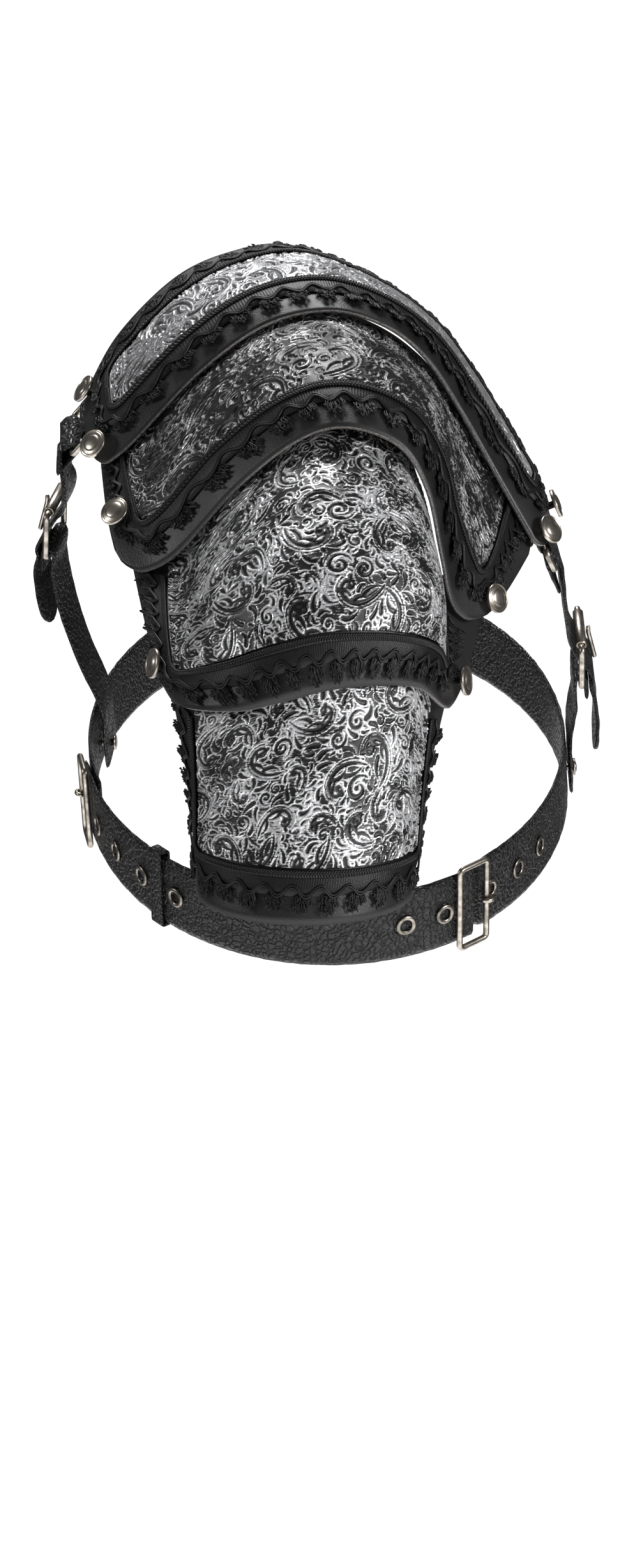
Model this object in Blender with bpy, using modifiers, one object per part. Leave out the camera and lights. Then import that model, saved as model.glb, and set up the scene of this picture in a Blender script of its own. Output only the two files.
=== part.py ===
"""Layered leather shoulder guard for the right shoulder, with its chest harness.

All lengths are in metres. The tables are written in the wearer's frame: X runs forward, Y from the right
arm towards the left one with 0 in the middle of the chest, and Z up. At the end the whole model is moved so
that its origin is the seat, where the top lame's crest rests on the shoulder.
"""

from collections import namedtuple
from math import cos, pi, radians, sin, sqrt, tan

import bmesh
import bpy
import numpy as np
from mathutils import Vector
from mathutils.bvhtree import BVHTree

# Driving sizes of the wearer
DEPTH = 0.250           # front to back over the top lame
REACH = 0.300           # middle of the chest to the outside of the arm
RISE = 0.300            # level of the chest belt to the top of the shoulder
PERCENT = 0.01          # the tables of sections hold percentages of the three sizes above

# Sheet sizes
LEATHER = 0.0020
PANEL = 0.0012
TRIM_THICKNESS = 0.0022
TRIM_WIDTH = 0.020
GAP = 0.0004            # between pieces that touch
FACET = 0.0006          # more room where flat facets lie on a curve
LAME_DROP = 0.0125      # greatest drop from a lame's face to the face of the one tucked under it
TUFT_PITCH = 0.0165
TUFT_DEPTH = 0.0040
CORNER_STEPS = 4
BRAID_TURN = 0.006      # inner radius of the braid at a corner
BULGE_SKEW = 1.4        # above 1, a lame bulges more towards its lower edge

# Cuff round the upper arm
ARM_X = -0.0252 * DEPTH
ARM_Y = -0.77 * REACH
CUFF_RADIUS_X = 0.0575
CUFF_RADIUS_Y = 0.0560
CUFF_HEM = -0.0725
CUFF_HEM_RISE = 0.0175
CUFF_HALF_ANGLE = radians(97)

# Hardware
CAP_RADIUS = 0.0080
CAP_HEIGHT = 0.0032
CAP_RIM = 0.0012
POST_RADIUS = 0.0020
FLANGE_RADIUS = 0.0042
FLANGE_THICKNESS = 0.0010
HOLE_CLEARANCE = 0.0004
TURN_STEPS = 10
WIRE_RADIUS = 0.0017
WIRE_ROUNDING = 1
RING_LENGTH = 0.013     # between the middles of its two bars
FRAME_LENGTH = 0.028    # strap buckle, between the middles of its two bars
FRAME_SIDE = 0.0014     # room beside a strap inside its ring or frame
FRAME_CORNER = 0.0025
ROLLER_RADIUS = 0.0030
PRONG_RADIUS = 0.0013

# Straps and belt
STRAP_WIDTH = 0.030
STRAP = 0.0022
BELT_WIDTH = 0.042
BELT = 0.0025
BELT_X = 0.026 * DEPTH
BELT_HALF_DEPTH = 0.546 * DEPTH
BELT_HALF_WIDTH = 0.555 * REACH
BELT_LEVEL = 0.045 * RISE
BELT_TILT = radians(29)
BELT_LEAN = 0.055       # how far its upper edge leans in at the chest and the back
BELT_TIP = 0.024        # from the rear buckle's middle to the near belt's round end
BELT_LAP = 0.004        # from the front buckle's middle to the end of each belt piece
BELT_TUCK = 0.016       # from the rear buckle's middle to the far belt's end under the near one
EYELET_RADIUS = 0.0058
EYELET_BORE = 0.0031
EYELET_HEIGHT = 0.0012
BELT_FRAME_LENGTH = 0.020
BELT_STEPS = (22, 40)   # faces along the near and the far belt
KEEPER = 0.0015
KEEPER_WIDTH = 0.0095
RIVET_RADIUS = 0.0050
RIVET_HEIGHT = 0.0020
RIVET_LOW = 0.008       # below the middle of the belt

for old in list(bpy.data.objects):
    bpy.data.objects.remove(old, do_unlink=True)
PARTS = bpy.data.collections.new("pauldron")
CUTTERS = bpy.data.collections.new("cutters")
bpy.context.scene.collection.children.link(PARTS)
bpy.context.scene.collection.children.link(CUTTERS)


def finish(name, colour, roughness, metallic=0.0):
    """A plain Principled material."""
    made = bpy.data.materials.new(name)
    made.use_nodes = True
    shader = made.node_tree.nodes["Principled BSDF"]
    shader.inputs["Base Color"].default_value = (*colour, 1.0)
    shader.inputs["Roughness"].default_value = roughness
    shader.inputs["Metallic"].default_value = metallic
    return made


BLACK_LEATHER = finish("black_leather", (0.012, 0.012, 0.013), 0.50)
EMBOSSED = finish("silver_rubbed_leather", (0.28, 0.28, 0.29), 0.38, 0.55)
BRAID = finish("black_braid", (0.007, 0.007, 0.008), 0.85)
STRAP_LEATHER = finish("crackled_leather", (0.010, 0.010, 0.011), 0.55)
NICKEL = finish("antiqued_nickel", (0.36, 0.33, 0.30), 0.32, 1.0)

# Sections of lame 1, from its rear end to its front end: the point on its upper edge, the point on its
# lower edge (percent of DEPTH, REACH, RISE) and how far the sheet bulges between them (percent of RISE)
Section = namedtuple("Section", "upper_x upper_y upper_z lower_x lower_y lower_z bulge")
LAME_1 = (
    Section(-51.0, -34.7, 70.5, -47.3, -50.0, 56.2, 1.6),
    Section(-43.6, -32.7, 81.9, -39.9, -51.7, 60.9, 2.0),
    Section(-31.3, -29.3, 92.6, -25.6, -53.3, 73.3, 2.2),
    Section(-19.2, -27.7, 97.5, -11.3, -54.3, 81.8, 2.3),
    Section(-6.5, -26.7, 99.0, 2.5, -55.0, 84.4, 2.3),
    Section(8.2, -26.7, 94.6, 14.1, -54.7, 82.0, 2.2),
    Section(20.7, -27.3, 88.4, 23.0, -53.3, 76.5, 2.1),
    Section(30.1, -29.3, 80.5, 30.3, -52.3, 67.6, 2.0),
    Section(45.8, -34.0, 59.9, 42.3, -50.3, 49.8, 1.8),
    Section(50.9, -36.0, 49.6, 48.4, -49.3, 41.0, 1.6),
)

# Sections of the lames that are tucked under another: where the upper edge lies under the lame above
# (its shares along and down that lame), the drop there (share of LAME_DROP), then as above
Tucked = namedtuple("Tucked", "over_along over_down drop lower_x lower_y lower_z bulge")
LAME_2 = (
    Tucked(0.01, 0.64, 0.58, -41.3, -60.7, 36.5, 1.8),
    Tucked(0.11, 0.75, 0.85, -30.8, -65.3, 39.8, 1.7),
    Tucked(0.22, 0.78, 1.00, -16.6, -74.0, 51.9, 2.8),
    Tucked(0.34, 0.79, 1.00, -4.0, -79.3, 59.7, 3.2),
    Tucked(0.45, 0.79, 1.00, 6.4, -81.7, 61.8, 3.4),
    Tucked(0.56, 0.79, 1.00, 17.5, -80.3, 58.5, 3.4),
    Tucked(0.66, 0.78, 0.92, 23.4, -77.3, 50.8, 3.2),
    Tucked(0.76, 0.75, 0.85, 26.4, -72.7, 39.9, 2.8),
    Tucked(0.87, 0.70, 0.75, 29.0, -68.0, 31.1, 2.4),
    Tucked(0.99, 0.68, 0.60, 34.6, -63.3, 27.7, 1.2),
)
LAME_3 = (
    Tucked(0.01, 0.46, 1.10, -32.0, -75.0, 15.3, 0.6),
    Tucked(0.11, 0.80, 1.45, -27.0, -87.3, 13.1, 1.0),
    Tucked(0.22, 0.84, 1.10, -16.4, -95.3, 12.4, 4.4),
    Tucked(0.33, 0.84, 1.05, -7.4, -98.0, 13.8, 6.8),
    Tucked(0.44, 0.84, 1.00, 1.5, -98.3, 15.7, 7.4),
    Tucked(0.55, 0.84, 1.00, 9.7, -96.5, 16.6, 7.0),
    Tucked(0.64, 0.83, 1.00, 16.6, -93.3, 16.8, 5.8),
    Tucked(0.74, 0.83, 1.05, 21.6, -89.0, 16.3, 3.4),
    Tucked(0.85, 0.86, 1.25, 26.0, -81.7, 13.7, 0.6),
    Tucked(0.99, 0.58, 0.95, 28.5, -71.7, 12.6, 0.4),
)

# How the cuff's upper edge is tucked under lame 3
CuffTop = namedtuple("CuffTop", "over_along over_down drop bulge")
CUFF_TOP = (
    CuffTop(0.01, 0.72, 0.54, -1.0),
    CuffTop(0.14, 0.82, 0.64, -0.4),
    CuffTop(0.28, 0.83, 0.68, 0.0),
    CuffTop(0.40, 0.83, 0.70, 0.0),
    CuffTop(0.50, 0.83, 0.70, 0.0),
    CuffTop(0.60, 0.83, 0.70, 0.0),
    CuffTop(0.72, 0.83, 0.68, 0.0),
    CuffTop(0.86, 0.82, 0.64, -0.4),
    CuffTop(0.99, 0.72, 0.54, -1.0),
)


def smooth(rows, share):
    """Points at the given shares (0 to 1) of a smooth curve through the rows."""
    rows = np.asarray(rows, float)
    padded = np.vstack([2 * rows[0] - rows[1], rows, 2 * rows[-1] - rows[-2]])
    place = np.clip(share, 0, 1) * (len(rows) - 1)
    start = np.minimum(place.astype(int), len(rows) - 2)
    t = (place - start)[..., None]
    a, b, c, d = (padded[start + k] for k in range(4))
    return 0.5 * (2 * b + (c - a) * t + (2 * a - 5 * b + 4 * c - d) * t ** 2
                  + (3 * b - a - 3 * c + d) * t ** 3)


def unit(vectors):
    return vectors / np.linalg.norm(vectors, axis=-1, keepdims=True)


def run_length(points):
    """Length of each polyline in an array of rows of points."""
    return np.linalg.norm(np.diff(points, axis=-2), axis=-1).sum(-1)


class Lame:
    """A bent leather sheet, lofted through sections from its rear end to its front end.

    A place on it is a share down (0 upper edge, 1 lower edge) and a share along (0 rear, 1 front), or x and
    y in metres on the flat pattern that it was cut to, from the rear end and from the upper edge.
    """
    SAMPLES = 33        # points along and down on which it is measured
    STEP = 0.004        # share over which a slope is measured

    def __init__(self, upper, lower, bulge):
        self.upper, self.lower = np.array(upper), np.array(lower)
        self.bulge = np.array(bulge)[:, None]
        self.shares = np.linspace(0, 1, self.SAMPLES)
        down, along = np.meshgrid(self.shares, self.shares, indexing="ij")
        sheet = self.skin(down, along)
        self.lengths = run_length(sheet)
        self.widths = run_length(sheet.swapaxes(0, 1))
        self.length = self.lengths[self.SAMPLES // 2]
        self.width = self.widths[self.SAMPLES // 2]

    def skin(self, down, along):
        before = np.clip(along - self.STEP, 0, 1)
        after = np.clip(along + self.STEP, 0, 1)
        upper, lower = smooth(self.upper, along), smooth(self.lower, along)
        run = (smooth(self.upper, after) + smooth(self.lower, after)
               - smooth(self.upper, before) - smooth(self.lower, before))
        outward = unit(np.cross(lower - upper, run))
        down = down[..., None]
        swell = np.sin(pi * down ** BULGE_SKEW) * smooth(self.bulge, along)
        return upper + (lower - upper) * down + swell * outward

    def at(self, down, along, lift=0.0):
        """Points on the outer face, raised along its normals by the lift."""
        down, along = np.broadcast_arrays(np.asarray(down, float), np.asarray(along, float))
        above, below = np.clip(down - self.STEP, 0, 1), np.clip(down + self.STEP, 0, 1)
        before, after = np.clip(along - self.STEP, 0, 1), np.clip(along + self.STEP, 0, 1)
        down_run = self.skin(below, along) - self.skin(above, along)
        along_run = self.skin(down, after) - self.skin(down, before)
        normal = unit(np.cross(down_run, along_run))
        return self.skin(down, along) + normal * np.asarray(lift)[..., None], normal

    def shares_of(self, x, y):
        """Shares down and along of a place on the flat pattern, true to the distances from the edges."""
        down, along = y / self.width, x / self.length
        for _ in range(3):
            wide = self.width / np.interp(along, self.shares, self.widths)
            long = self.length / np.interp(down, self.shares, self.lengths)
            down, along = keep_ends(y / self.width, wide), keep_ends(x / self.length, long)
        return down, along

    def on_pattern(self, x, y, lift=0.0):
        return self.at(*self.shares_of(x, y), lift)


def keep_ends(share, ratio):
    """A share stretched by the ratio at both ends and not at all in the middle."""
    near = np.minimum(share, 1 - share)
    stretched = near * (1 + (ratio - 1) * (1 - 2 * near))
    return np.where(share < 0.5, stretched, 1 - stretched)


def body_point(x, y, z):
    return (x * PERCENT * DEPTH, y * PERCENT * REACH, z * PERCENT * RISE)


def tucked_lame(sections, above):
    upper = [above.at(row.over_down, row.over_along, -row.drop * LAME_DROP)[0] for row in sections]
    lower = [body_point(row.lower_x, row.lower_y, row.lower_z) for row in sections]
    return Lame(upper, lower, [row.bulge * PERCENT * RISE for row in sections])


def cuff_lame(above):
    upper = [above.at(row.over_down, row.over_along, -row.drop * LAME_DROP)[0] for row in CUFF_TOP]
    lower = []
    for angle in np.linspace(-CUFF_HALF_ANGLE, CUFF_HALF_ANGLE, len(CUFF_TOP)):
        lower.append((ARM_X + CUFF_RADIUS_X * sin(angle), ARM_Y - CUFF_RADIUS_Y * cos(angle),
                      CUFF_HEM + CUFF_HEM_RISE * (1 - cos(angle))))
    return Lame(upper, lower, [row.bulge * PERCENT * RISE for row in CUFF_TOP])


lame_1 = Lame([body_point(row.upper_x, row.upper_y, row.upper_z) for row in LAME_1],
              [body_point(row.lower_x, row.lower_y, row.lower_z) for row in LAME_1],
              [row.bulge * PERCENT * RISE for row in LAME_1])
lame_2 = tucked_lame(LAME_2, lame_1)
lame_3 = tucked_lame(LAME_3, lame_2)
lame_4 = cuff_lame(lame_3)


def grid_object(name, points, thickness, offset, material):
    """A sheet of quads through an array of rows of points, with a Solidify wall."""
    rows, columns = points.shape[:2]
    mesh = bpy.data.meshes.new(name)
    made = bmesh.new()
    bmesh.ops.create_grid(made, x_segments=columns - 1, y_segments=rows - 1, size=1.0)
    for vertex in made.verts:
        column = round((vertex.co.x + 1) / 2 * (columns - 1))
        row = round((vertex.co.y + 1) / 2 * (rows - 1))
        vertex.co = points[row, column]
    made.to_mesh(mesh)
    made.free()
    piece = bpy.data.objects.new(name, mesh)
    mesh.materials.append(material)
    PARTS.objects.link(piece)
    wall = piece.modifiers.new("wall", "SOLIDIFY")
    wall.thickness = thickness
    wall.offset = offset
    wall.use_even_offset = True
    return piece


def rounded_sheet(name, lame, rear, front, upper, lower, corner, lift, thickness, offset, counts, material):
    """A sheet on the lame's flat pattern, set in from its edges and with rounded corners."""
    columns, rows = counts
    even = np.linspace(0, 1, columns + 1)
    across = (even + (1 - np.cos(pi * even)) / 2) / 2
    x = rear + across * (lame.length - rear - front)
    near = np.minimum(x - rear, lame.length - front - x)
    cut = np.where(near < corner, corner - np.sqrt(np.maximum(corner ** 2 - (corner - near) ** 2, 0)), 0)
    top, bottom = upper + cut, lame.width - lower - cut
    share = np.linspace(0, 1, rows + 1)[::-1, None]
    y = top + share * (bottom - top)
    points, _ = lame.on_pattern(np.broadcast_to(x, y.shape), y, lift)
    return grid_object(name, points, thickness, offset, material)


def frame_route(lame, rear, front, edge, turn, closed, upper):
    """The braid's middle line on the flat pattern: points and outward directions, and distances along it.

    It runs down the rear end, along the lower edge and up the front end, and back along the upper edge
    where the braid goes all the way round.
    """
    near, far, bottom = rear, lame.length - front, lame.width - edge
    corners = [(near, bottom, pi), (far, bottom, pi / 2)]
    first, last = (near, upper, -1, 0), (far, upper, 1, 0)
    if closed:
        corners += [(far, edge, 0), (near, edge, -pi / 2)]
        first = last = (near, lame.width / 2, -1, 0)
    points = [first]
    for x, y, start in corners:
        middle_x = x + turn * (1 if x == near else -1)
        middle_y = y + turn * (-1 if y == bottom else 1)
        for step in range(CORNER_STEPS + 1):
            angle = start - pi / 2 * step / CORNER_STEPS
            points.append((middle_x + turn * cos(angle), middle_y + turn * sin(angle),
                           cos(angle), sin(angle)))
    points = np.array(points + [last])
    run = np.concatenate([[0], np.cumsum(np.hypot(*np.diff(points[:, :2], axis=0).T))])
    return points, run


def braid(name, lame, rear, front, edge, upper, closed):
    """The braid: a flat band whose outer edge bulges out in tufts.

    A braid that goes all the way round starts and ends a hair apart, in the middle of the rear end.
    """
    half = TRIM_WIDTH / 2
    points, run = frame_route(lame, rear + half, front + half, edge + half, half + BRAID_TURN, closed, upper)
    tufts = round(run[-1] / TUFT_PITCH)
    at = np.linspace(GAP, run[-1] - GAP, 2 * tufts + 1)
    x, y, out_x, out_y = (np.interp(at, run, points[:, k]) for k in range(4))
    size = np.hypot(out_x, out_y)
    out_x, out_y = out_x / size, out_y / size
    tuft = np.where(np.arange(len(at)) % 2, half, half - TUFT_DEPTH)
    rows = [lame.on_pattern(x + out_x * tuft, y + out_y * tuft, GAP + FACET)[0],
            lame.on_pattern(x - out_x * half, y - out_y * half, GAP + FACET)[0]]
    return grid_object(name, np.array(rows), TRIM_THICKNESS, 1.0, BRAID)


def ribbon(name, middles, across, halves, thickness, material, rows=1):
    """A strap through middle points, each with a direction across it and a half width."""
    middles, across = np.array(middles), unit(np.array(across))
    halves = np.array(halves)[:, None]
    lines = [middles + across * halves * side for side in np.linspace(-1, 1, rows + 1)]
    return grid_object(name, np.array(lines), thickness, 0.0, material)


def turned(name, profile, at, normal, material, closed=False, collection=PARTS):
    """A turned piece: a profile of (radius, height) points swept round the normal."""
    mesh = bpy.data.meshes.new(name)
    made = bmesh.new()
    corners = [made.verts.new((radius, 0, height)) for radius, height in profile]
    for one, two in zip(corners, corners[1:]):
        made.edges.new((one, two))
    if closed:
        made.edges.new((corners[-1], corners[0]))
    made.to_mesh(mesh)
    made.free()
    mesh.materials.append(material)
    piece = bpy.data.objects.new(name, mesh)
    collection.objects.link(piece)
    sweep = piece.modifiers.new("turn", "SCREW")
    sweep.steps = sweep.render_steps = TURN_STEPS
    sweep.use_merge_vertices = True
    sweep.merge_threshold = 0.00001
    sweep.use_smooth_shade = False
    piece.location = Vector(at)
    piece.rotation_euler = Vector(normal).to_track_quat("Z", "Y").to_euler()
    return piece


def hole_cutter(name, at, normal, radius, above, below, cut_pieces):
    cutter = turned(name, [(0, above), (radius, above), (radius, -below), (0, -below)], at, normal,
                    BLACK_LEATHER, collection=CUTTERS)
    cutter.hide_render = True
    cutter.display_type = "WIRE"
    for piece in cut_pieces:
        cut = piece.modifiers.new(name, "BOOLEAN")
        cut.operation = "DIFFERENCE"
        cut.object = cutter
        cut.solver = "EXACT"


def stud(name, at, normal, radius, height, stack, tilt, pieces, raised=0.0):
    """A domed cap or rivet head, its post through the leather and a flat foot behind it.

    The stack is the leather's depth along the post, the tilt is the slope of its inner face, and the head
    is raised where it sits on the braid.
    """
    bottom = -stack - GAP - FLANGE_RADIUS * tilt
    seat = raised + GAP + FACET / 2
    profile = [(0, seat + height), (0.55 * radius, seat + 0.85 * height), (radius, seat + CAP_RIM),
               (radius, seat), (POST_RADIUS, seat), (POST_RADIUS, bottom), (FLANGE_RADIUS, bottom),
               (FLANGE_RADIUS, bottom - FLANGE_THICKNESS), (0, bottom - FLANGE_THICKNESS)]
    turned(name, profile, at, normal, NICKEL)
    hole_cutter(name + "_hole", at, normal, POST_RADIUS + HOLE_CLEARANCE + LEATHER * tilt,
                seat + height, -bottom + LEATHER, pieces)


def depth_to(lame, at, normal):
    """Distance from a point, against the normal, to the outer face of a lame, and that face's slope."""
    count = Lame.SAMPLES
    down, along = np.meshgrid(np.linspace(0, 1, count), np.linspace(0, 1, count), indexing="ij")
    sheet = lame.skin(down, along).reshape(-1, 3)
    faces = [(r * count + c, r * count + c + 1, (r + 1) * count + c + 1, (r + 1) * count + c)
             for r in range(count - 1) for c in range(count - 1)]
    tree = BVHTree.FromPolygons([Vector(p) for p in sheet], faces)
    _, face_normal, _, depth = tree.ray_cast(Vector(at), -Vector(normal))
    facing = abs(face_normal.dot(Vector(normal)))
    return depth, sqrt(1 - facing ** 2) / facing


# How each lame is laid out, in shares of TRIM_WIDTH: the radius of the leather's corners, the bare leather
# below the braid and beside its rear and front ends, and how far from the upper edge the braid starts.
# Then the faces along and down the leather and the panel.
Layout = namedtuple("Layout", "corner edge rear front start leather panel")
LAYOUTS = {
    1: Layout(0.70, 0.40, 0.750, 0.925, 0.50, (20, 4), (16, 2)),
    2: Layout(0.90, 0.50, 0.300, 0.600, 0.20, (20, 6), (16, 5)),
    3: Layout(0.80, 0.33, 0.300, 0.900, 1.90, (22, 8), (20, 7)),
    4: Layout(0.80, 0.43, 0.200, 0.200, 1.20, (20, 4), (16, 3)),
}
HIDDEN_EDGE = 0.012     # from a panel to the hidden upper edge of its lame


def build_lame(number, lame):
    """The leather sheet, then the embossed panel and the braid that lie side by side on it."""
    layout = LAYOUTS[number]
    closed = number == 1
    corner, edge, rear, front, start = (TRIM_WIDTH * share for share in layout[:5])
    base = rounded_sheet(f"lame_{number}", lame, 0, 0, 0, 0, corner, 0, LEATHER, -1.0, layout.leather,
                         BLACK_LEATHER)
    beside = TRIM_WIDTH + GAP + FACET
    upper = edge + beside if closed else HIDDEN_EDGE
    rounded_sheet(f"panel_{number}", lame, rear + beside, front + beside, upper, edge + beside, BRAID_TURN,
                  GAP + FACET, PANEL, 1.0, layout.panel, EMBOSSED)
    return base, braid(f"trim_{number}", lame, rear, front, edge, start, closed)


LAMES = {1: lame_1, 2: lame_2, 3: lame_3, 4: lame_4}
bases, trims = {}, {}
for number, lame in LAMES.items():
    bases[number], trims[number] = build_lame(number, lame)
ON_BRAID = TRIM_THICKNESS + GAP + 2 * FACET     # how far a cap's head is raised where it sits on the braid


# The snaps that join a lame to the one tucked under it: how far from the end and from the lower edge each
# sits, in multiples of CAP_RADIUS
Link = namedtuple("Link", "name lame end low")
LINKS = (
    Link("rear_1_2", 1, 1.2, 1.50),
    Link("front_1_2", 1, 1.2, 1.38),
    Link("rear_2_3", 2, 1.2, 5.50),
    Link("front_2_3", 2, 1.2, 2.50),
    Link("rear_3_4", 3, 1.2, 3.25),
    Link("front_3_4", 3, 1.2, 2.75),
)
for link in LINKS:
    lame, under = LAMES[link.lame], LAMES[link.lame + 1]
    x = CAP_RADIUS * link.end
    if link.name.startswith("front"):
        x = lame.length - x
    at, normal = lame.on_pattern(np.array(x), np.array(lame.width - CAP_RADIUS * link.low))
    depth, tilt = depth_to(under, at, normal)
    stack = depth + LEATHER * sqrt(1 + tilt ** 2) + FACET
    stud(f"cap_{link.name}", at, normal, CAP_RADIUS, CAP_HEIGHT, stack, tilt,
         (bases[link.lame], bases[link.lame + 1], trims[link.lame], trims[link.lame + 1]), raised=ON_BRAID)


def wire(name, points, radius, closed=False):
    curve = bpy.data.curves.new(name, "CURVE")
    curve.dimensions = "3D"
    curve.bevel_depth = radius
    curve.bevel_resolution = WIRE_ROUNDING
    curve.use_fill_caps = not closed
    spline = curve.splines.new("POLY")
    spline.points.add(len(points) - 1)
    for knot, point in zip(spline.points, points):
        knot.co = (*point, 1.0)
    spline.use_cyclic_u = closed
    curve.materials.append(NICKEL)
    piece = bpy.data.objects.new(name, curve)
    PARTS.objects.link(piece)


def wire_frame(name, middle, along, across, length, width):
    """A rectangle of wire with round corners, sized between the middles of its bars."""
    points = []
    for side_a, side_w, start in ((1, 1, 0), (-1, 1, pi / 2), (-1, -1, pi), (1, -1, 3 * pi / 2)):
        for angle in (start, start + pi / 2):
            reach_a = side_a * (length / 2 - FRAME_CORNER) + FRAME_CORNER * cos(angle)
            reach_w = side_w * (width / 2 - FRAME_CORNER) + FRAME_CORNER * sin(angle)
            points.append(middle + along * reach_a + across * reach_w)
    wire(name, points, WIRE_RADIUS, closed=True)


def fold(bar, away, outward, short):
    """Middle points of a strap round a bar, from its short end on the inner side to the outer side."""
    radius = WIRE_RADIUS + GAP + STRAP / 2
    points = [bar - outward * radius + away * short]
    for step in range(7):
        angle = -pi / 2 + pi * step / 6
        points.append(bar - away * radius * cos(angle) + outward * radius * sin(angle))
    return points


def rounded_ends(run, half, start, end):
    """Half widths along a strap whose start or end is rounded off."""
    left = run if start else np.full(len(run), half)
    right = run[-1] - run if end else np.full(len(run), half)
    near = np.clip(np.minimum(left, right), 0.0006, half)
    return np.sqrt(half ** 2 - (half - near) ** 2)


def strap(name, points, across, half, thickness, start=False, end=False):
    points, across = np.array(points), unit(np.array(across))
    if end or start:
        run = np.concatenate([[0], np.cumsum(np.linalg.norm(np.diff(points, axis=0), axis=1))])
        extra = half * np.array([0.04, 0.25, 0.6])
        at = np.union1d(run, np.concatenate([extra] * start + [run[-1] - extra] * end))
        points = np.stack([np.interp(at, run, points[:, k]) for k in range(3)], axis=1)
        across = np.stack([np.interp(at, run, across[:, k]) for k in range(3)], axis=1)
        halves = rounded_ends(at, half, start, end)
    else:
        halves = np.full(len(points), half)
    return ribbon(name, points, across, halves, thickness, STRAP_LEATHER)


# The belt: an ellipse in a plane that is tilted down towards the right arm. The turn is 0 at the right
# side, positive towards the front.
def belt_frame(turn, lift=0.0):
    """Point on the belt's middle surface, and its directions along, across (up) and outward."""
    y = -BELT_HALF_WIDTH * cos(turn)
    point = np.array([BELT_X + BELT_HALF_DEPTH * sin(turn), y, BELT_LEVEL + y * tan(BELT_TILT)])
    along = unit(np.array([BELT_HALF_DEPTH * cos(turn), BELT_HALF_WIDTH * sin(turn),
                           BELT_HALF_WIDTH * sin(turn) * tan(BELT_TILT)]))
    up = np.array([-BELT_LEAN * sin(turn) ** 2, -sin(BELT_TILT), cos(BELT_TILT)])
    up = unit(up - along * up.dot(along))
    outward = np.cross(along, up)
    return point + outward * lift, along, up, outward


def belt_step(turn, distance):
    """The turn after going a distance along the belt."""
    steps = 12
    for _ in range(steps):
        run = sqrt((BELT_HALF_DEPTH * cos(turn)) ** 2 + (BELT_HALF_WIDTH * sin(turn) / cos(BELT_TILT)) ** 2)
        turn += distance / steps / run
    return turn


def belt_piece(name, start, end, lift, steps, round_start=False, round_end=False):
    frames = [belt_frame(turn, lift) for turn in np.linspace(start, end, steps + 1)]
    return strap(name, [frame[0] for frame in frames], [frame[2] for frame in frames], BELT_WIDTH / 2, BELT,
                 start=round_start, end=round_end)


BUCKLE_TURNS = {"rear": radians(-76), "front": radians(33.5)}
BELT_UNDER = -(BELT + 2 * GAP)
near_start = belt_step(BUCKLE_TURNS["rear"], -BELT_TIP)
near_end = belt_step(BUCKLE_TURNS["front"], BELT_LAP)
far_start = belt_step(BUCKLE_TURNS["front"], -BELT_LAP)
far_end = belt_step(BUCKLE_TURNS["rear"], BELT_TUCK) + 2 * pi
belt_near = belt_piece("belt_near", near_start, near_end, 0, BELT_STEPS[0], round_start=True)
belt_far = belt_piece("belt_far", far_start, far_end, BELT_UNDER, BELT_STEPS[1], round_start=True)

for place, turn in BUCKLE_TURNS.items():
    middle, along, up, outward = belt_frame(turn, BELT / 2 + GAP + WIRE_RADIUS)
    wire_frame(f"belt_buckle_{place}", middle, along, up, BELT_FRAME_LENGTH,
               BELT_WIDTH + 2 * (FRAME_SIDE + WIRE_RADIUS))
    side = 1 if place == "front" else -1
    bar = middle + along * side * BELT_FRAME_LENGTH / 2
    reach = WIRE_RADIUS + PRONG_RADIUS + GAP
    hook = [bar + along * reach * cos(angle) + outward * reach * sin(angle)
            for angle in np.linspace(0, pi, 5)]
    wire(f"belt_prong_{place}", hook, PRONG_RADIUS)

# The eyelets: the buckle that a row starts from, its side of it (1 towards the front), the room between
# the buckle and the first one and the pitch (both in shares of BELT_WIDTH), and the belt piece
Eyelets = namedtuple("Eyelets", "buckle side room pitch count far")
EYELETS = (
    Eyelets("rear", 1, 0.27, 0.73, 4, False),
    Eyelets("front", -1, 0.020, 0.57, 2, False),
    Eyelets("front", 1, 0.020, 0.66, 3, True),
)
eyelet_turns = []
for row in EYELETS:
    first = BELT_FRAME_LENGTH / 2 + WIRE_RADIUS + EYELET_RADIUS + row.room * BELT_WIDTH
    for place in range(row.count):
        distance = first + place * row.pitch * BELT_WIDTH
        eyelet_turns.append((belt_step(BUCKLE_TURNS[row.buckle], row.side * distance), row.far))
for number, (turn, far) in enumerate(eyelet_turns, 1):
    point, along, up, outward = belt_frame(turn, BELT_UNDER * far + BELT / 2 + FACET / 2)
    profile = [(EYELET_RADIUS, GAP + EYELET_HEIGHT / 2), (EYELET_RADIUS, GAP), (EYELET_BORE, GAP),
               (EYELET_BORE + EYELET_HEIGHT / 2, GAP + EYELET_HEIGHT)]
    turned(f"eyelet_{number}", profile, point, outward, NICKEL, closed=True)
    hole_cutter(f"eyelet_{number}_hole", point, outward, EYELET_BORE, EYELET_HEIGHT, BELT * 2,
                (belt_far if far else belt_near,))

# The keeper sits midway between the last two eyelets of the first row
point, along, up, outward = belt_frame((eyelet_turns[2][0] + eyelet_turns[3][0]) / 2)
room = GAP + FACET + KEEPER / 2
high, thick = BELT_WIDTH / 2 + room, BELT / 2 + room
loop = [(GAP, -thick), (high - room, -thick), (high, -thick + room), (high, thick - room),
        (high - room, thick), (-high + room, thick), (-high, thick - room), (-high, -thick + room),
        (-high + room, -thick), (-GAP, -thick)]
ribbon("keeper", [point + up * a + outward * b for a, b in loop], [along] * len(loop),
       [KEEPER_WIDTH / 2] * len(loop), KEEPER, STRAP_LEATHER)

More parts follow.
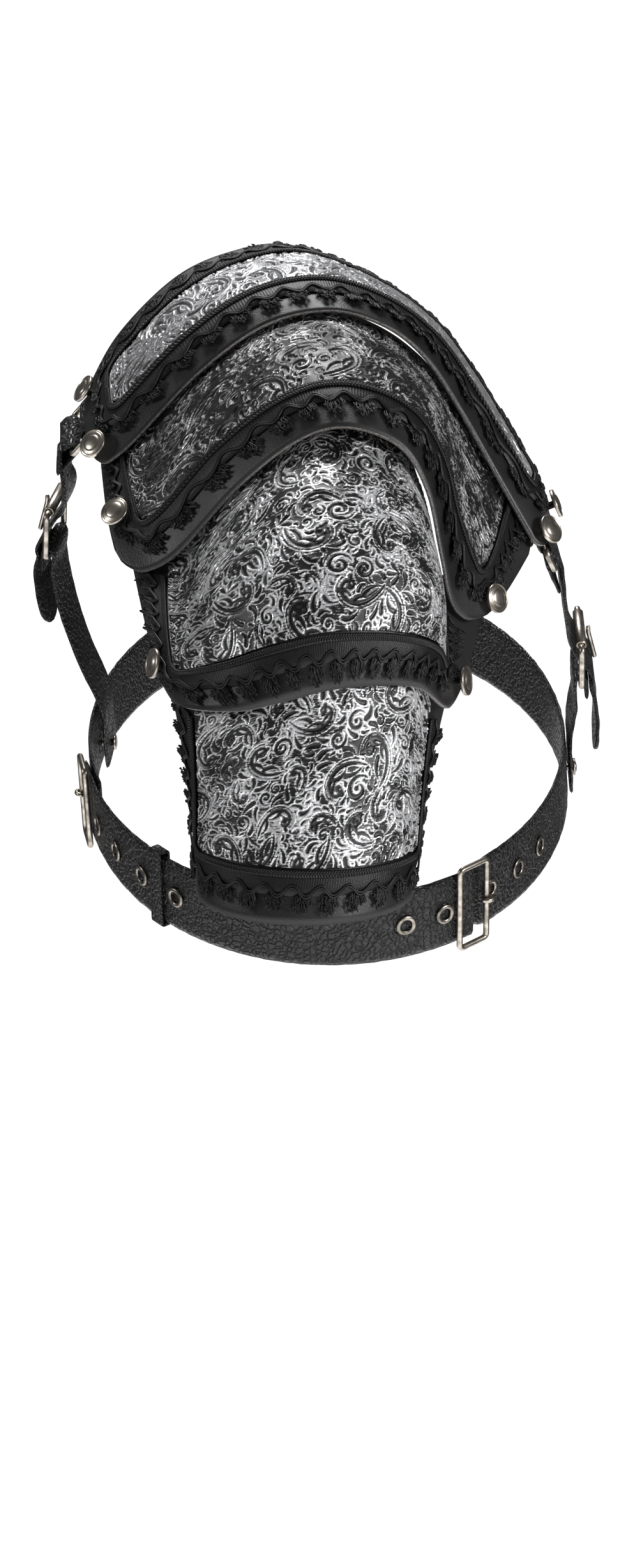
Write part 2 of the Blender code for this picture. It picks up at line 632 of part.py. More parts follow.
# The diagonal straps, one behind and one in front: the turn of the belt where it ends, the direction from
# lame 1 to the ring, the buckle's middle, its outward direction and the direction down the strap, then
# points on the upper strap, its tail and the lower strap (percent of DEPTH, REACH, RISE)
Side = namedtuple("Side", "sign over_belt belt_turn leave buckle outward down between tail lower")
REAR = Side(-1, False, radians(-101), (-0.25, 0.62, -0.74), (-58.2, -17.3, 48.8), (-0.95, 0.14, 0.21),
            (-0.05, 0.60, -0.80), (-54.9, -27.0, 55.6),
            ((-61.4, -11.6, 40.5), (-59.6, -8.4, 30.5)),
            ((-56.0, -6.3, 34.0), (-52.6, -0.6, 25.3)))
FRONT = Side(1, True, radians(92), (0.25, 0.62, -0.74), (58.3, -17.3, 25.3), (0.99, -0.01, 0.07),
             (0.03, 0.70, -0.71), (54.4, -27.0, 33.4),
             ((62.2, -11.5, 15.0), (62.3, -9.0, 6.8)),
             ((57.6, -8.0, 16.6),))
TAB_CAP_END = 0.0095    # from the end of lame 1 to the cap over the ring's tab
TAB_CAP_TOP = 0.0120    # from its upper edge
TAB_REACH = 0.016       # from the cap to the ring's bar
TAB_DROP = 0.0020       # room between the flat tab and the curved leather over it
TAB_BACK = 0.010        # from the cap to the tab's end
TURN_BACK = 0.020       # short end of the upper strap behind its ring
HINGE_BACK = 0.014      # short end of the lower strap behind its buckle
CROSS_UP = 0.024        # how far the lower strap lies flat above the middle of the belt
CROSS_DOWN = 0.018      # and below it
HALF_STRAP = STRAP_WIDTH / 2
STRAP_STEPS = 18


def build_side(place, side):
    """The ring on its tab, the buckled strap and the strap down to the belt."""
    x = TAB_CAP_END if side.sign < 0 else lame_1.length - TAB_CAP_END
    at, outward = lame_1.on_pattern(np.array(x), np.array(TAB_CAP_TOP))
    leave = np.array(side.leave)
    leave = unit(leave - outward * leave.dot(outward))
    across = np.cross(outward, leave)
    reach = WIRE_RADIUS + GAP + STRAP / 2
    bar = at - outward * (LEATHER + GAP + TAB_DROP + STRAP / 2 + reach) + leave * TAB_REACH
    tab = fold(bar, -leave, outward, TAB_REACH + TAB_BACK)
    tab.append(bar + outward * reach - leave * (TAB_REACH + TAB_BACK + STRAP))
    tab_piece = strap(f"ring_tab_{place}", tab, [across] * len(tab), HALF_STRAP, STRAP, end=True)
    stack = LEATHER + GAP + TAB_DROP + 2 * reach + STRAP
    stud(f"cap_{place}_strap", at, outward, CAP_RADIUS, CAP_HEIGHT, stack, 0,
         (bases[1], tab_piece, trims[1]), raised=ON_BRAID)
    inner = STRAP_WIDTH + 2 * (FRAME_SIDE + WIRE_RADIUS)
    wire_frame(f"ring_{place}", bar + leave * RING_LENGTH / 2, leave, across, RING_LENGTH, inner)

    middle = np.array(body_point(*side.buckle))
    down, out = unit(np.array(side.down)), np.array(side.outward)
    out = unit(out - down * out.dot(down))
    wide = np.cross(out, down)
    wire_frame(f"buckle_{place}", middle, down, wide, FRAME_LENGTH, inner)
    roller, hinge = middle - down * FRAME_LENGTH / 2, middle + down * FRAME_LENGTH / 2
    bore = WIRE_RADIUS + GAP
    half = HALF_STRAP - FRAME_SIDE
    turned(f"roller_{place}", [(ROLLER_RADIUS, half), (ROLLER_RADIUS, -half), (bore, -half), (bore, half)],
           roller, wide, NICKEL, closed=True)

    lower_bar = bar + leave * RING_LENGTH
    start = fold(lower_bar, leave, outward, TURN_BACK)
    under = roller - out * (ROLLER_RADIUS + GAP + 2 * FACET + STRAP / 2)
    over = hinge + out * (WIRE_RADIUS + 2 * GAP + 1.5 * STRAP)
    keys = [start[-1], start[-1] + leave * 2 * ROLLER_RADIUS, body_point(*side.between), under,
            over - down * 2 * STRAP, over + down * 2 * bore]
    keys += [body_point(*row) for row in side.tail]
    turns = [across, across, across + wide] + [wide] * (len(keys) - 3)
    shares = np.linspace(0, 1, STRAP_STEPS + 1)[1:]
    points = start + list(smooth(keys, shares))
    sides = [across] * len(start) + list(smooth(turns, shares))
    strap(f"upper_strap_{place}", points, sides, HALF_STRAP, STRAP, end=True)
    lift = out * (ROLLER_RADIUS + GAP + PRONG_RADIUS)
    rest = over + out * (STRAP / 2 + GAP + PRONG_RADIUS) - down * 2 * ROLLER_RADIUS
    wire(f"prong_{place}", [roller + lift - down * STRAP, roller + lift + down * STRAP, rest], PRONG_RADIUS)

    point, _, up, outside = belt_frame(side.belt_turn, BELT_UNDER)
    if side.over_belt:
        apart = BELT / 2 + GAP + FACET + STRAP / 2
        head, stack = point + outside * (apart + STRAP / 2), STRAP + GAP + FACET + BELT
    else:
        apart = -BELT / 2 - GAP - 3 * FACET - STRAP_WIDTH ** 2 / 8 / BELT_HALF_DEPTH - STRAP / 2
        head, stack = point + outside * BELT / 2, BELT / 2 - apart + STRAP / 2 + 2 * FACET
    end = point + outside * apart
    flat = unit(down - outside * down.dot(outside))
    last = np.cross(outside, flat)
    start = fold(hinge, down, -out, HINGE_BACK)
    keys = [start[-1], start[-1] + down * HINGE_BACK] + [body_point(*row) for row in side.lower]
    keys += [end - flat * CROSS_UP, end, end + flat * CROSS_DOWN]
    turns = [wide] * (len(keys) - 4) + [wide + last] + [last] * 3
    points = start + list(smooth(keys, shares))
    sides = [wide] * len(start) + list(smooth(turns, shares))
    lower = strap(f"lower_strap_{place}", points, sides, HALF_STRAP, STRAP)
    stud(f"strap_rivet_{place}", head - up * RIVET_LOW, outside, RIVET_RADIUS, RIVET_HEIGHT, stack, 0,
         (belt_far, lower))


build_side("rear", REAR)
build_side("front", FRONT)

# Move everything so that the seat, on the inner face of lame 1 at its crest, is the origin
seat, seat_normal = lame_1.at(0.5, 4 / 9, -LEATHER)
for piece in list(PARTS.objects) + list(CUTTERS.objects):
    piece.location -= Vector(seat)
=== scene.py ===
# %% [markdown]
# # A layered leather shoulder guard
# This is a costume pauldron for the right shoulder. Three leather plates, called lames, overlap like roof
# tiles over the shoulder, a cuff goes round the upper arm, and straps hang from the top plate down to a
# chest belt. Each plate carries an embossed panel framed by a black braid. The imported model gives every
# place and size, so the first step loads it and bakes each mesh's place into its points.

# %% Load the frame
from collections import namedtuple
from math import cos, pi, radians, sin, sqrt, tan

import bmesh
import bpy
import numpy as np
from mathutils import Matrix, Vector
from mathutils.bvhtree import BVHTree


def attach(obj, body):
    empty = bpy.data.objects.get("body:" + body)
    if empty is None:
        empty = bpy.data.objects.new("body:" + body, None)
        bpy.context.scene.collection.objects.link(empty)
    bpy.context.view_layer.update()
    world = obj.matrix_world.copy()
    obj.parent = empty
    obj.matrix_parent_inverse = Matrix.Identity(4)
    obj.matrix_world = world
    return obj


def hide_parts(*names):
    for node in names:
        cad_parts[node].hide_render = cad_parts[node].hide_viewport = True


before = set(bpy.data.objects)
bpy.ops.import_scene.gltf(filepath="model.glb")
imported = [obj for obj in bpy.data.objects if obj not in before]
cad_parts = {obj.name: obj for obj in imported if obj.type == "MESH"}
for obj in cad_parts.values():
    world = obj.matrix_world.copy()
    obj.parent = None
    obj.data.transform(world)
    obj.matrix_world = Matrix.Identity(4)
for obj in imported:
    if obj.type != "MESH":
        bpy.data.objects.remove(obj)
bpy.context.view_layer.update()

# %% [markdown]
# ## The view
# A photographer who wants straight lines stands far back with a long lens. The camera is 3 m away, level
# with the belt, and looks along +Y at the outside of the arm. The tall frame is filled from its height, so
# the sensor fit is vertical.

# %% Camera
CAMERA_PLACE = (0.0047, -2.8753, -0.2790)
LENS_MM = 121.9
camera_data = bpy.data.cameras.new("camera")
camera_data.sensor_fit = "VERTICAL"
camera_data.sensor_height = 36
camera_data.lens = LENS_MM
camera = bpy.data.objects.new("camera", camera_data)
camera.location = CAMERA_PLACE
camera.rotation_euler = (pi / 2, 0, 0)
bpy.context.scene.collection.objects.link(camera)
bpy.context.scene.camera = camera
print("lens:", camera_data.lens, "mm")

# %% [markdown]
# ## Colour and node helpers
# Screen colours are written as hex values, but a shader works with linear light, so one function turns one
# into the other. A second function adds any shader node, with its settings and what goes into it. The rest
# of the materials are made only with these two.


# %% Helpers for materials
def linear(code):
    """The linear RGBA of an sRGB hex colour."""
    parts = [int(code[k:k + 2], 16) / 255 for k in (1, 3, 5)]
    return (*[p / 12.92 if p <= 0.04045 else ((p + 0.055) / 1.055) ** 2.4 for p in parts], 1.0)


def add_node(tree, kind, inputs=None, **settings):
    """Add a node. Its inputs are values, or sockets of other nodes, by name or number."""
    made = tree.nodes.new("ShaderNode" + kind)
    for name, value in settings.items():
        setattr(made, name, value)
    for name, value in (inputs or {}).items():
        if isinstance(value, bpy.types.NodeSocket):
            tree.links.new(value, made.inputs[name])
        else:
            made.inputs[name].default_value = value
    return made


def new_material(name):
    """An empty material: its node tree, and its one Principled shader."""
    made = bpy.data.materials.new(name)
    made.use_nodes = True
    return made, made.node_tree, made.node_tree.nodes["Principled BSDF"]


MIX_A, MIX_B, MIX_RESULT = 6, 7, 2      # the colour sockets of a Mix node

# %% [markdown]
# ## The studio
# The product stands before a strip of white paper that runs along the floor and curves up behind. The paper
# is lit on its own, so it stays white while the room round it is dim, and the black leather gets its shape
# from the reflections of three soft boxes. The strongest stands to the right, towards the wearer's front.

# %% Paper and lights
FLOOR_LEVEL = -1.45     # the height of a shoulder above the floor
PAPER_REACH, PAPER_NARROW, PAPER_HEIGHT, PAPER_BEND = 8.0, 0.22, 9.0, 3.0
paper, _, paper_shader = new_material("white_background_paper")
paper_shader.inputs["Base Color"].default_value = linear("#F7F7F7")
paper_shader.inputs["Roughness"].default_value = 0.9
paper_shader.inputs["Emission Color"].default_value = linear("#FFFFFF")
paper_shader.inputs["Emission Strength"].default_value = 0.95

sweep = bmesh.new()
bmesh.ops.create_grid(sweep, x_segments=1, y_segments=1, size=PAPER_REACH)
bmesh.ops.scale(sweep, vec=(PAPER_NARROW, 1, 1), verts=sweep.verts)
far_edge = [edge for edge in sweep.edges if all(vertex.co.y > PAPER_REACH - 1 for vertex in edge.verts)]
wall = bmesh.ops.extrude_edge_only(sweep, edges=far_edge)
wall_top = [part for part in wall["geom"] if isinstance(part, bmesh.types.BMVert)]
bmesh.ops.translate(sweep, vec=(0, 0, PAPER_HEIGHT), verts=wall_top)
corner = [edge for edge in sweep.edges if len(edge.link_faces) == 2]
bmesh.ops.bevel(sweep, geom=corner, affect="EDGES", offset=PAPER_BEND, segments=16, profile=0.5,
                material=-1)
bmesh.ops.translate(sweep, vec=(0, 0, FLOOR_LEVEL), verts=sweep.verts)
paper_mesh = bpy.data.meshes.new("paper_sweep")
sweep.to_mesh(paper_mesh)
sweep.free()
paper_mesh.materials.append(paper)
paper_mesh.shade_smooth()
paper_sweep = bpy.data.objects.new("paper_sweep", paper_mesh)
bpy.context.scene.collection.objects.link(paper_sweep)
print("paper wall:", len(wall_top), "corners raised to", PAPER_HEIGHT, "m")

# %% Room and soft boxes
world = bpy.data.worlds.new("studio")
world.use_nodes = True
world.node_tree.nodes["Background"].inputs["Color"].default_value = linear("#FFFFFF")
world.node_tree.nodes["Background"].inputs["Strength"].default_value = 0.10
bpy.context.scene.world = world
bpy.context.scene.view_settings.view_transform = "Standard"

Light = namedtuple("Light", "name place aim size power")
LIGHTS = (
    Light("key", (2.0, -1.6, 0.25), (0.0, -0.1, -0.20), 0.7, 62),
    Light("fill", (-2.4, -0.6, 0.5), (0.0, -0.1, -0.15), 0.6, 14),
    Light("top", (-0.3, 0.4, 1.9), (0.0, -0.1, -0.05), 0.8, 48),
)
for light in LIGHTS:
    lamp_data = bpy.data.lights.new(light.name, "AREA")
    lamp_data.size = light.size
    lamp_data.energy = light.power
    lamp = bpy.data.objects.new(light.name, lamp_data)
    lamp.location = light.place
    lamp.rotation_euler = (Vector(light.aim) - Vector(light.place)).to_track_quat("-Z", "Y").to_euler()
    bpy.context.scene.collection.objects.link(lamp)
print("lights:", [light.name for light in LIGHTS])

# %% [markdown]
# ## Black leathers
# The plates are smooth faux leather: a black polyurethane skin with a fine pebble, pressed on a fabric
# back. It is satin, so it shows broad soft reflections. A cell pattern of about 0.7 mm gives the pebble as
# bump. Where a plate is cut, the grey-brown backing shows as a thin light line.

# %% Faux leather and its cut edge
PEBBLE = 0.0007
CLOUDS_A_METRE, FIBRES_A_METRE = 35.0, 900.0     # a cloud is about 30 mm, a fibre about 1.1 mm
faux_leather, tree, shader = new_material("black_faux_leather")
coordinate = add_node(tree, "TexCoord")
pebble = add_node(tree, "TexVoronoi", {"Vector": coordinate.outputs["Object"], "Scale": 1 / PEBBLE,
                                       "Randomness": 1.0}, feature="SMOOTH_F1")
cloud = add_node(tree, "TexNoise", {"Vector": coordinate.outputs["Object"], "Scale": CLOUDS_A_METRE,
                                     "Detail": 4.0})
tone = add_node(tree, "ValToRGB", {"Fac": cloud.outputs["Fac"]})
tone.color_ramp.elements[0].position, tone.color_ramp.elements[1].position = 0.35, 0.7
tone.color_ramp.elements[0].color = linear("#121213")
tone.color_ramp.elements[1].color = linear("#1B1B1C")
gloss = add_node(tree, "MapRange", {"Value": cloud.outputs["Fac"], "From Min": 0.3, "From Max": 0.7,
                                    "To Min": 0.40, "To Max": 0.52})
relief = add_node(tree, "Bump", {"Height": pebble.outputs["Distance"], "Strength": 0.35, "Distance": 0.0003})
tree.links.new(tone.outputs["Color"], shader.inputs["Base Color"])
tree.links.new(gloss.outputs["Result"], shader.inputs["Roughness"])
tree.links.new(relief.outputs["Normal"], shader.inputs["Normal"])

cut_edge, tree, shader = new_material("cut_backing_edge")
coordinate = add_node(tree, "TexCoord")
fibre = add_node(tree, "TexNoise", {"Vector": coordinate.outputs["Object"], "Scale": FIBRES_A_METRE,
                                    "Detail": 3.0})
tone = add_node(tree, "ValToRGB", {"Fac": fibre.outputs["Fac"]})
tone.color_ramp.elements[0].position, tone.color_ramp.elements[1].position = 0.3, 0.75
tone.color_ramp.elements[0].color = linear("#3B3937")
tone.color_ramp.elements[1].color = linear("#8A8683")
tree.links.new(tone.outputs["Color"], shader.inputs["Base Color"])
shader.inputs["Roughness"].default_value = 0.85
print("plate leather:", faux_leather.name, "and", cut_edge.name)

# %% [markdown]
# ## Silver-rubbed panels
# The panels are the same kind of sheet, embossed with scrollwork and then rubbed with silver foil. The foil
# catches the high ground and misses the pressed-in strokes, which stay black. The foil is thin and brushed,
# so dark streaks and fine cracks run through it. Two values stored on each point of the mesh, `recess` and
# `rim`, tell the material where the strokes are, and `flat` gives the place on the cut sheet in metres, so
# that the streaks follow the leather round every bend.


# %% Foil-rubbed leather
STREAK, PATCH, CRACK = 0.0010, 0.018, 0.0012      # a streak is drawn wider than the real 0.3 mm, to show
STREAK_STRETCH, PATCH_WEAR, RIM_WEIGHT, FOIL_FADE = 0.22, 0.16, 0.30, 0.16


def foil_leather(name, wear, dark, bright, streak_turn):
    """Silver foil over embossed black leather. With more wear, less of the ground keeps its foil."""
    made, tree, shader = new_material(name)
    flat = add_node(tree, "Attribute", attribute_name="flat")
    recess = add_node(tree, "Attribute", attribute_name="recess")
    rim = add_node(tree, "Attribute", attribute_name="rim")
    turned = add_node(tree, "Mapping", {"Vector": flat.outputs["Vector"], "Rotation": (0, 0, streak_turn),
                                        "Scale": (STREAK_STRETCH, 1.0, 1.0)})
    streaks = add_node(tree, "TexNoise", {"Vector": turned.outputs["Vector"], "Scale": 1 / STREAK,
                                          "Detail": 5.0, "Roughness": 0.65})
    patches = add_node(tree, "TexNoise", {"Vector": flat.outputs["Vector"], "Scale": 1 / PATCH,
                                          "Detail": 3.0})
    cracks = add_node(tree, "TexVoronoi", {"Vector": flat.outputs["Vector"], "Scale": 1 / CRACK},
                      feature="DISTANCE_TO_EDGE")
    patchy = add_node(tree, "MapRange", {"Value": patches.outputs["Fac"], "From Min": 0.3, "From Max": 0.7,
                                         "To Min": -PATCH_WEAR, "To Max": PATCH_WEAR})
    worn = add_node(tree, "Math", {0: streaks.outputs["Fac"], 1: patchy.outputs["Result"]}, operation="ADD")
    lit = add_node(tree, "Math", {0: rim.outputs["Fac"], 1: RIM_WEIGHT, 2: worn.outputs["Value"]},
                   operation="MULTIPLY_ADD")
    foil = add_node(tree, "MapRange", {"Value": lit.outputs["Value"], "From Min": wear,
                                       "From Max": wear + FOIL_FADE})
    crack_line = add_node(tree, "MapRange", {"Value": cracks.outputs["Distance"], "From Min": 0.0,
                                             "From Max": 0.07, "To Min": 0.35})
    foil_whole = add_node(tree, "Math", {0: foil.outputs["Result"], 1: crack_line.outputs["Result"]},
                          operation="MULTIPLY")
    ground = add_node(tree, "Math", {0: 1.0, 1: recess.outputs["Fac"]}, operation="SUBTRACT")
    silver = add_node(tree, "Math", {0: foil_whole.outputs["Value"], 1: ground.outputs["Value"]},
                      operation="MULTIPLY")
    colour = add_node(tree, "Mix", {0: silver.outputs["Value"], MIX_A: linear(dark), MIX_B: linear(bright)},
                      data_type="RGBA")
    metal = add_node(tree, "Math", {0: silver.outputs["Value"], 1: 0.85}, operation="MULTIPLY")
    rough = add_node(tree, "MapRange", {"Value": silver.outputs["Value"], "To Min": 0.42, "To Max": 0.30})
    relief = add_node(tree, "Bump", {"Height": foil_whole.outputs["Value"], "Strength": 0.5,
                                     "Distance": 0.0002})
    tree.links.new(colour.outputs[MIX_RESULT], shader.inputs["Base Color"])
    tree.links.new(metal.outputs["Value"], shader.inputs["Metallic"])
    tree.links.new(rough.outputs["Result"], shader.inputs["Roughness"])
    tree.links.new(relief.outputs["Normal"], shader.inputs["Normal"])
    return made


FOILS = {
    1: foil_leather("satin_foil_on_leather", 0.395, "#2E2E30", "#B4B4B6", radians(35)),
    2: foil_leather("dark_foil_on_leather", 0.675, "#0C0C0D", "#D8D8DA", radians(30)),
    3: foil_leather("bright_foil_on_leather", 0.560, "#09090A", "#F2F2F4", radians(25)),
    4: foil_leather("crackled_foil_on_leather", 0.535, "#0B0B0C", "#F6F6F8", radians(0)),
}
print("foils:", [material.name for material in FOILS.values()])

# %% [markdown]
# ## Braid
# The edging is a rayon gimp braid, dyed black: a plaited cord, a ribbed tape, a pair of twisted cords in
# waves and fans of looped thread. Rayon is softly shiny, so each thread has a narrow highlight along its
# length.

# %% Rayon
THREADS_A_METRE = 1400.0     # a thread is about 0.7 mm
rayon, tree, shader = new_material("black_rayon_braid")
coordinate = add_node(tree, "TexCoord")
thread = add_node(tree, "TexNoise", {"Vector": coordinate.outputs["Object"], "Scale": THREADS_A_METRE,
                                     "Detail": 3.0})
tone = add_node(tree, "ValToRGB", {"Fac": thread.outputs["Fac"]})
tone.color_ramp.elements[0].position, tone.color_ramp.elements[1].position = 0.3, 0.75
tone.color_ramp.elements[0].color = linear("#040405")
tone.color_ramp.elements[1].color = linear("#101011")
relief = add_node(tree, "Bump", {"Height": thread.outputs["Fac"], "Strength": 0.6, "Distance": 0.0003})
tree.links.new(tone.outputs["Color"], shader.inputs["Base Color"])
tree.links.new(relief.outputs["Normal"], shader.inputs["Normal"])
shader.inputs["Roughness"].default_value = 0.46
shader.inputs["Specular IOR Level"].default_value = 0.35
print("braid:", rayon.name)

# %% [markdown]
# ## The wearer's measures
# The plates are lofted through cross-sections, like a boat's hull. A section joins a point on the upper
# edge to a point on the lower edge, in percent of three body measures, and a bulge between them. A plate
# that is tucked under another takes its upper edge from the plate above. The tables are the same as in the
# part's source, written from the middle of the chest at belt level, and the seat on the shoulder becomes
# the origin.

# %% Measures and sections
DEPTH, REACH, RISE, PERCENT = 0.250, 0.300, 0.300, 0.01
LEATHER, GAP, FACET = 0.0020, 0.0004, 0.0006
PANEL, TRIM_WIDTH, BRAID_TURN = 0.0012, 0.020, 0.006
LAME_DROP, BULGE_SKEW = 0.0125, 1.4

Section = namedtuple("Section", "upper_x upper_y upper_z lower_x lower_y lower_z bulge")
LAME_1 = (
    Section(-51.0, -34.7, 70.5, -47.3, -50.0, 56.2, 1.6),
    Section(-43.6, -32.7, 81.9, -39.9, -51.7, 60.9, 2.0),
    Section(-31.3, -29.3, 92.6, -25.6, -53.3, 73.3, 2.2),
    Section(-19.2, -27.7, 97.5, -11.3, -54.3, 81.8, 2.3),
    Section(-6.5, -26.7, 99.0, 2.5, -55.0, 84.4, 2.3),
    Section(8.2, -26.7, 94.6, 14.1, -54.7, 82.0, 2.2),
    Section(20.7, -27.3, 88.4, 23.0, -53.3, 76.5, 2.1),
    Section(30.1, -29.3, 80.5, 30.3, -52.3, 67.6, 2.0),
    Section(45.8, -34.0, 59.9, 42.3, -50.3, 49.8, 1.8),
    Section(50.9, -36.0, 49.6, 48.4, -49.3, 41.0, 1.6),
)
Tucked = namedtuple("Tucked", "over_along over_down drop lower_x lower_y lower_z bulge")
LAME_2 = (
    Tucked(0.01, 0.64, 0.58, -41.3, -60.7, 36.5, 1.8),
    Tucked(0.11, 0.75, 0.85, -30.8, -65.3, 39.8, 1.7),
    Tucked(0.22, 0.78, 1.00, -16.6, -74.0, 51.9, 2.8),
    Tucked(0.34, 0.79, 1.00, -4.0, -79.3, 59.7, 3.2),
    Tucked(0.45, 0.79, 1.00, 6.4, -81.7, 61.8, 3.4),
    Tucked(0.56, 0.79, 1.00, 17.5, -80.3, 58.5, 3.4),
    Tucked(0.66, 0.78, 0.92, 23.4, -77.3, 50.8, 3.2),
    Tucked(0.76, 0.75, 0.85, 26.4, -72.7, 39.9, 2.8),
    Tucked(0.87, 0.70, 0.75, 29.0, -68.0, 31.1, 2.4),
    Tucked(0.99, 0.68, 0.60, 34.6, -63.3, 27.7, 1.2),
)
LAME_3 = (
    Tucked(0.01, 0.46, 1.10, -32.0, -75.0, 15.3, 0.6),
    Tucked(0.11, 0.80, 1.45, -27.0, -87.3, 13.1, 1.0),
    Tucked(0.22, 0.84, 1.10, -16.4, -95.3, 12.4, 4.4),
    Tucked(0.33, 0.84, 1.05, -7.4, -98.0, 13.8, 6.8),
    Tucked(0.44, 0.84, 1.00, 1.5, -98.3, 15.7, 7.4),
    Tucked(0.55, 0.84, 1.00, 9.7, -96.5, 16.6, 7.0),
    Tucked(0.64, 0.83, 1.00, 16.6, -93.3, 16.8, 5.8),
    Tucked(0.74, 0.83, 1.05, 21.6, -89.0, 16.3, 3.4),
    Tucked(0.85, 0.86, 1.25, 26.0, -81.7, 13.7, 0.6),
    Tucked(0.99, 0.58, 0.95, 28.5, -71.7, 12.6, 0.4),
)
CuffTop = namedtuple("CuffTop", "over_along over_down drop bulge")
CUFF_TOP = (
    CuffTop(0.01, 0.72, 0.54, -1.0),
    CuffTop(0.14, 0.82, 0.64, -0.4),
    CuffTop(0.28, 0.83, 0.68, 0.0),
    CuffTop(0.40, 0.83, 0.70, 0.0),
    CuffTop(0.50, 0.83, 0.70, 0.0),
    CuffTop(0.60, 0.83, 0.70, 0.0),
    CuffTop(0.72, 0.83, 0.68, 0.0),
    CuffTop(0.86, 0.82, 0.64, -0.4),
    CuffTop(0.99, 0.72, 0.54, -1.0),
)
ARM_X, ARM_Y, CUFF_RADIUS_X, CUFF_RADIUS_Y = -0.0252 * DEPTH, -0.77 * REACH, 0.0575, 0.0560
CUFF_HEM, CUFF_HEM_RISE, CUFF_HALF_ANGLE = -0.0725, 0.0175, radians(97)
print("sections:", len(LAME_1), len(LAME_2), len(LAME_3), len(CUFF_TOP))

# %% [markdown]
# ## A sheet with a flat pattern
# Leather is cut flat and then bent, so everything on a plate is laid out on its flat pattern: `x` metres
# from the rear end and `y` metres from the upper edge. The class below finds the place in space for any
# place on that pattern, raised above the skin by any lift. A smooth Catmull-Rom curve passes through every
# section, so the tables can be read straight off the shape.


# %% Smooth curves
def smooth(rows, share):
    """Points at the given shares (0 to 1) of a smooth curve through the rows."""
    rows = np.asarray(rows, float)
    padded = np.vstack([2 * rows[0] - rows[1], rows, 2 * rows[-1] - rows[-2]])
    place = np.clip(share, 0, 1) * (len(rows) - 1)
    start = np.minimum(place.astype(int), len(rows) - 2)
    t = (place - start)[..., None]
    a, b, c, d = (padded[start + k] for k in range(4))
    return 0.5 * (2 * b + (c - a) * t + (2 * a - 5 * b + 4 * c - d) * t ** 2
                  + (3 * b - a - 3 * c + d) * t ** 3)


def unit(vectors):
    """The same directions with a length of 1."""
    return vectors / np.linalg.norm(vectors, axis=-1, keepdims=True)


def run_length(points):
    """Length of each polyline in an array of rows of points."""
    return np.linalg.norm(np.diff(points, axis=-2), axis=-1).sum(-1)


def keep_ends(share, ratio):
    """A share stretched by the ratio at both ends and not at all in the middle."""
    near = np.minimum(share, 1 - share)
    stretched = near * (1 + (ratio - 1) * (1 - 2 * near))
    return np.where(share < 0.5, stretched, 1 - stretched)


# %% The lofted plate
class Lame:
    """A bent leather sheet, lofted through sections from its rear end to its front end."""
    SAMPLES = 33
    STEP = 0.004

    def __init__(self, upper, lower, bulge):
        self.upper, self.lower = np.array(upper), np.array(lower)
        self.bulge = np.array(bulge)[:, None]
        self.shares = np.linspace(0, 1, self.SAMPLES)
        down, along = np.meshgrid(self.shares, self.shares, indexing="ij")
        sheet = self.skin(down, along)
        self.lengths = run_length(sheet)
        self.widths = run_length(sheet.swapaxes(0, 1))
        self.length = self.lengths[self.SAMPLES // 2]
        self.width = self.widths[self.SAMPLES // 2]

    def skin(self, down, along):
        """Points on the outer face, by shares down and along the sheet."""
        before = np.clip(along - self.STEP, 0, 1)
        after = np.clip(along + self.STEP, 0, 1)
        upper, lower = smooth(self.upper, along), smooth(self.lower, along)
        run = (smooth(self.upper, after) + smooth(self.lower, after)
               - smooth(self.upper, before) - smooth(self.lower, before))
        outward = unit(np.cross(lower - upper, run))
        down = down[..., None]
        swell = np.sin(pi * down ** BULGE_SKEW) * smooth(self.bulge, along)
        return upper + (lower - upper) * down + swell * outward

    def at(self, down, along, lift=0.0):
        """Points on the outer face, raised along its normals by the lift, and the normals."""
        down, along = np.broadcast_arrays(np.asarray(down, float), np.asarray(along, float))
        above, below = np.clip(down - self.STEP, 0, 1), np.clip(down + self.STEP, 0, 1)
        before, after = np.clip(along - self.STEP, 0, 1), np.clip(along + self.STEP, 0, 1)
        down_run = self.skin(below, along) - self.skin(above, along)
        along_run = self.skin(down, after) - self.skin(down, before)
        normal = unit(np.cross(down_run, along_run))
        return self.skin(down, along) + normal * np.asarray(lift)[..., None], normal

    def on_pattern(self, x, y, lift=0.0):
        """The same for places on the flat pattern, in metres."""
        down, along = y / self.width, x / self.length
        for _ in range(3):
            wide = self.width / np.interp(along, self.shares, self.widths)
            long = self.length / np.interp(down, self.shares, self.lengths)
            down, along = keep_ends(y / self.width, wide), keep_ends(x / self.length, long)
        return self.at(down, along, lift)


# %% The four plates
def body_point(x, y, z):
    """A place in percent of the body measures, turned to metres."""
    return (x * PERCENT * DEPTH, y * PERCENT * REACH, z * PERCENT * RISE)


def tucked_lame(sections, above):
    """A plate whose upper edge lies under the plate above."""
    upper = [above.at(row.over_down, row.over_along, -row.drop * LAME_DROP)[0] for row in sections]
    lower = [body_point(row.lower_x, row.lower_y, row.lower_z) for row in sections]
    return Lame(upper, lower, [row.bulge * PERCENT * RISE for row in sections])


def cuff_lame(above):
    """The cuff: its hem is an arc round the upper arm."""
    upper = [above.at(row.over_down, row.over_along, -row.drop * LAME_DROP)[0] for row in CUFF_TOP]
    lower = []
    for angle in np.linspace(-CUFF_HALF_ANGLE, CUFF_HALF_ANGLE, len(CUFF_TOP)):
        lower.append((ARM_X + CUFF_RADIUS_X * sin(angle), ARM_Y - CUFF_RADIUS_Y * cos(angle),
                      CUFF_HEM + CUFF_HEM_RISE * (1 - cos(angle))))
    return Lame(upper, lower, [row.bulge * PERCENT * RISE for row in CUFF_TOP])


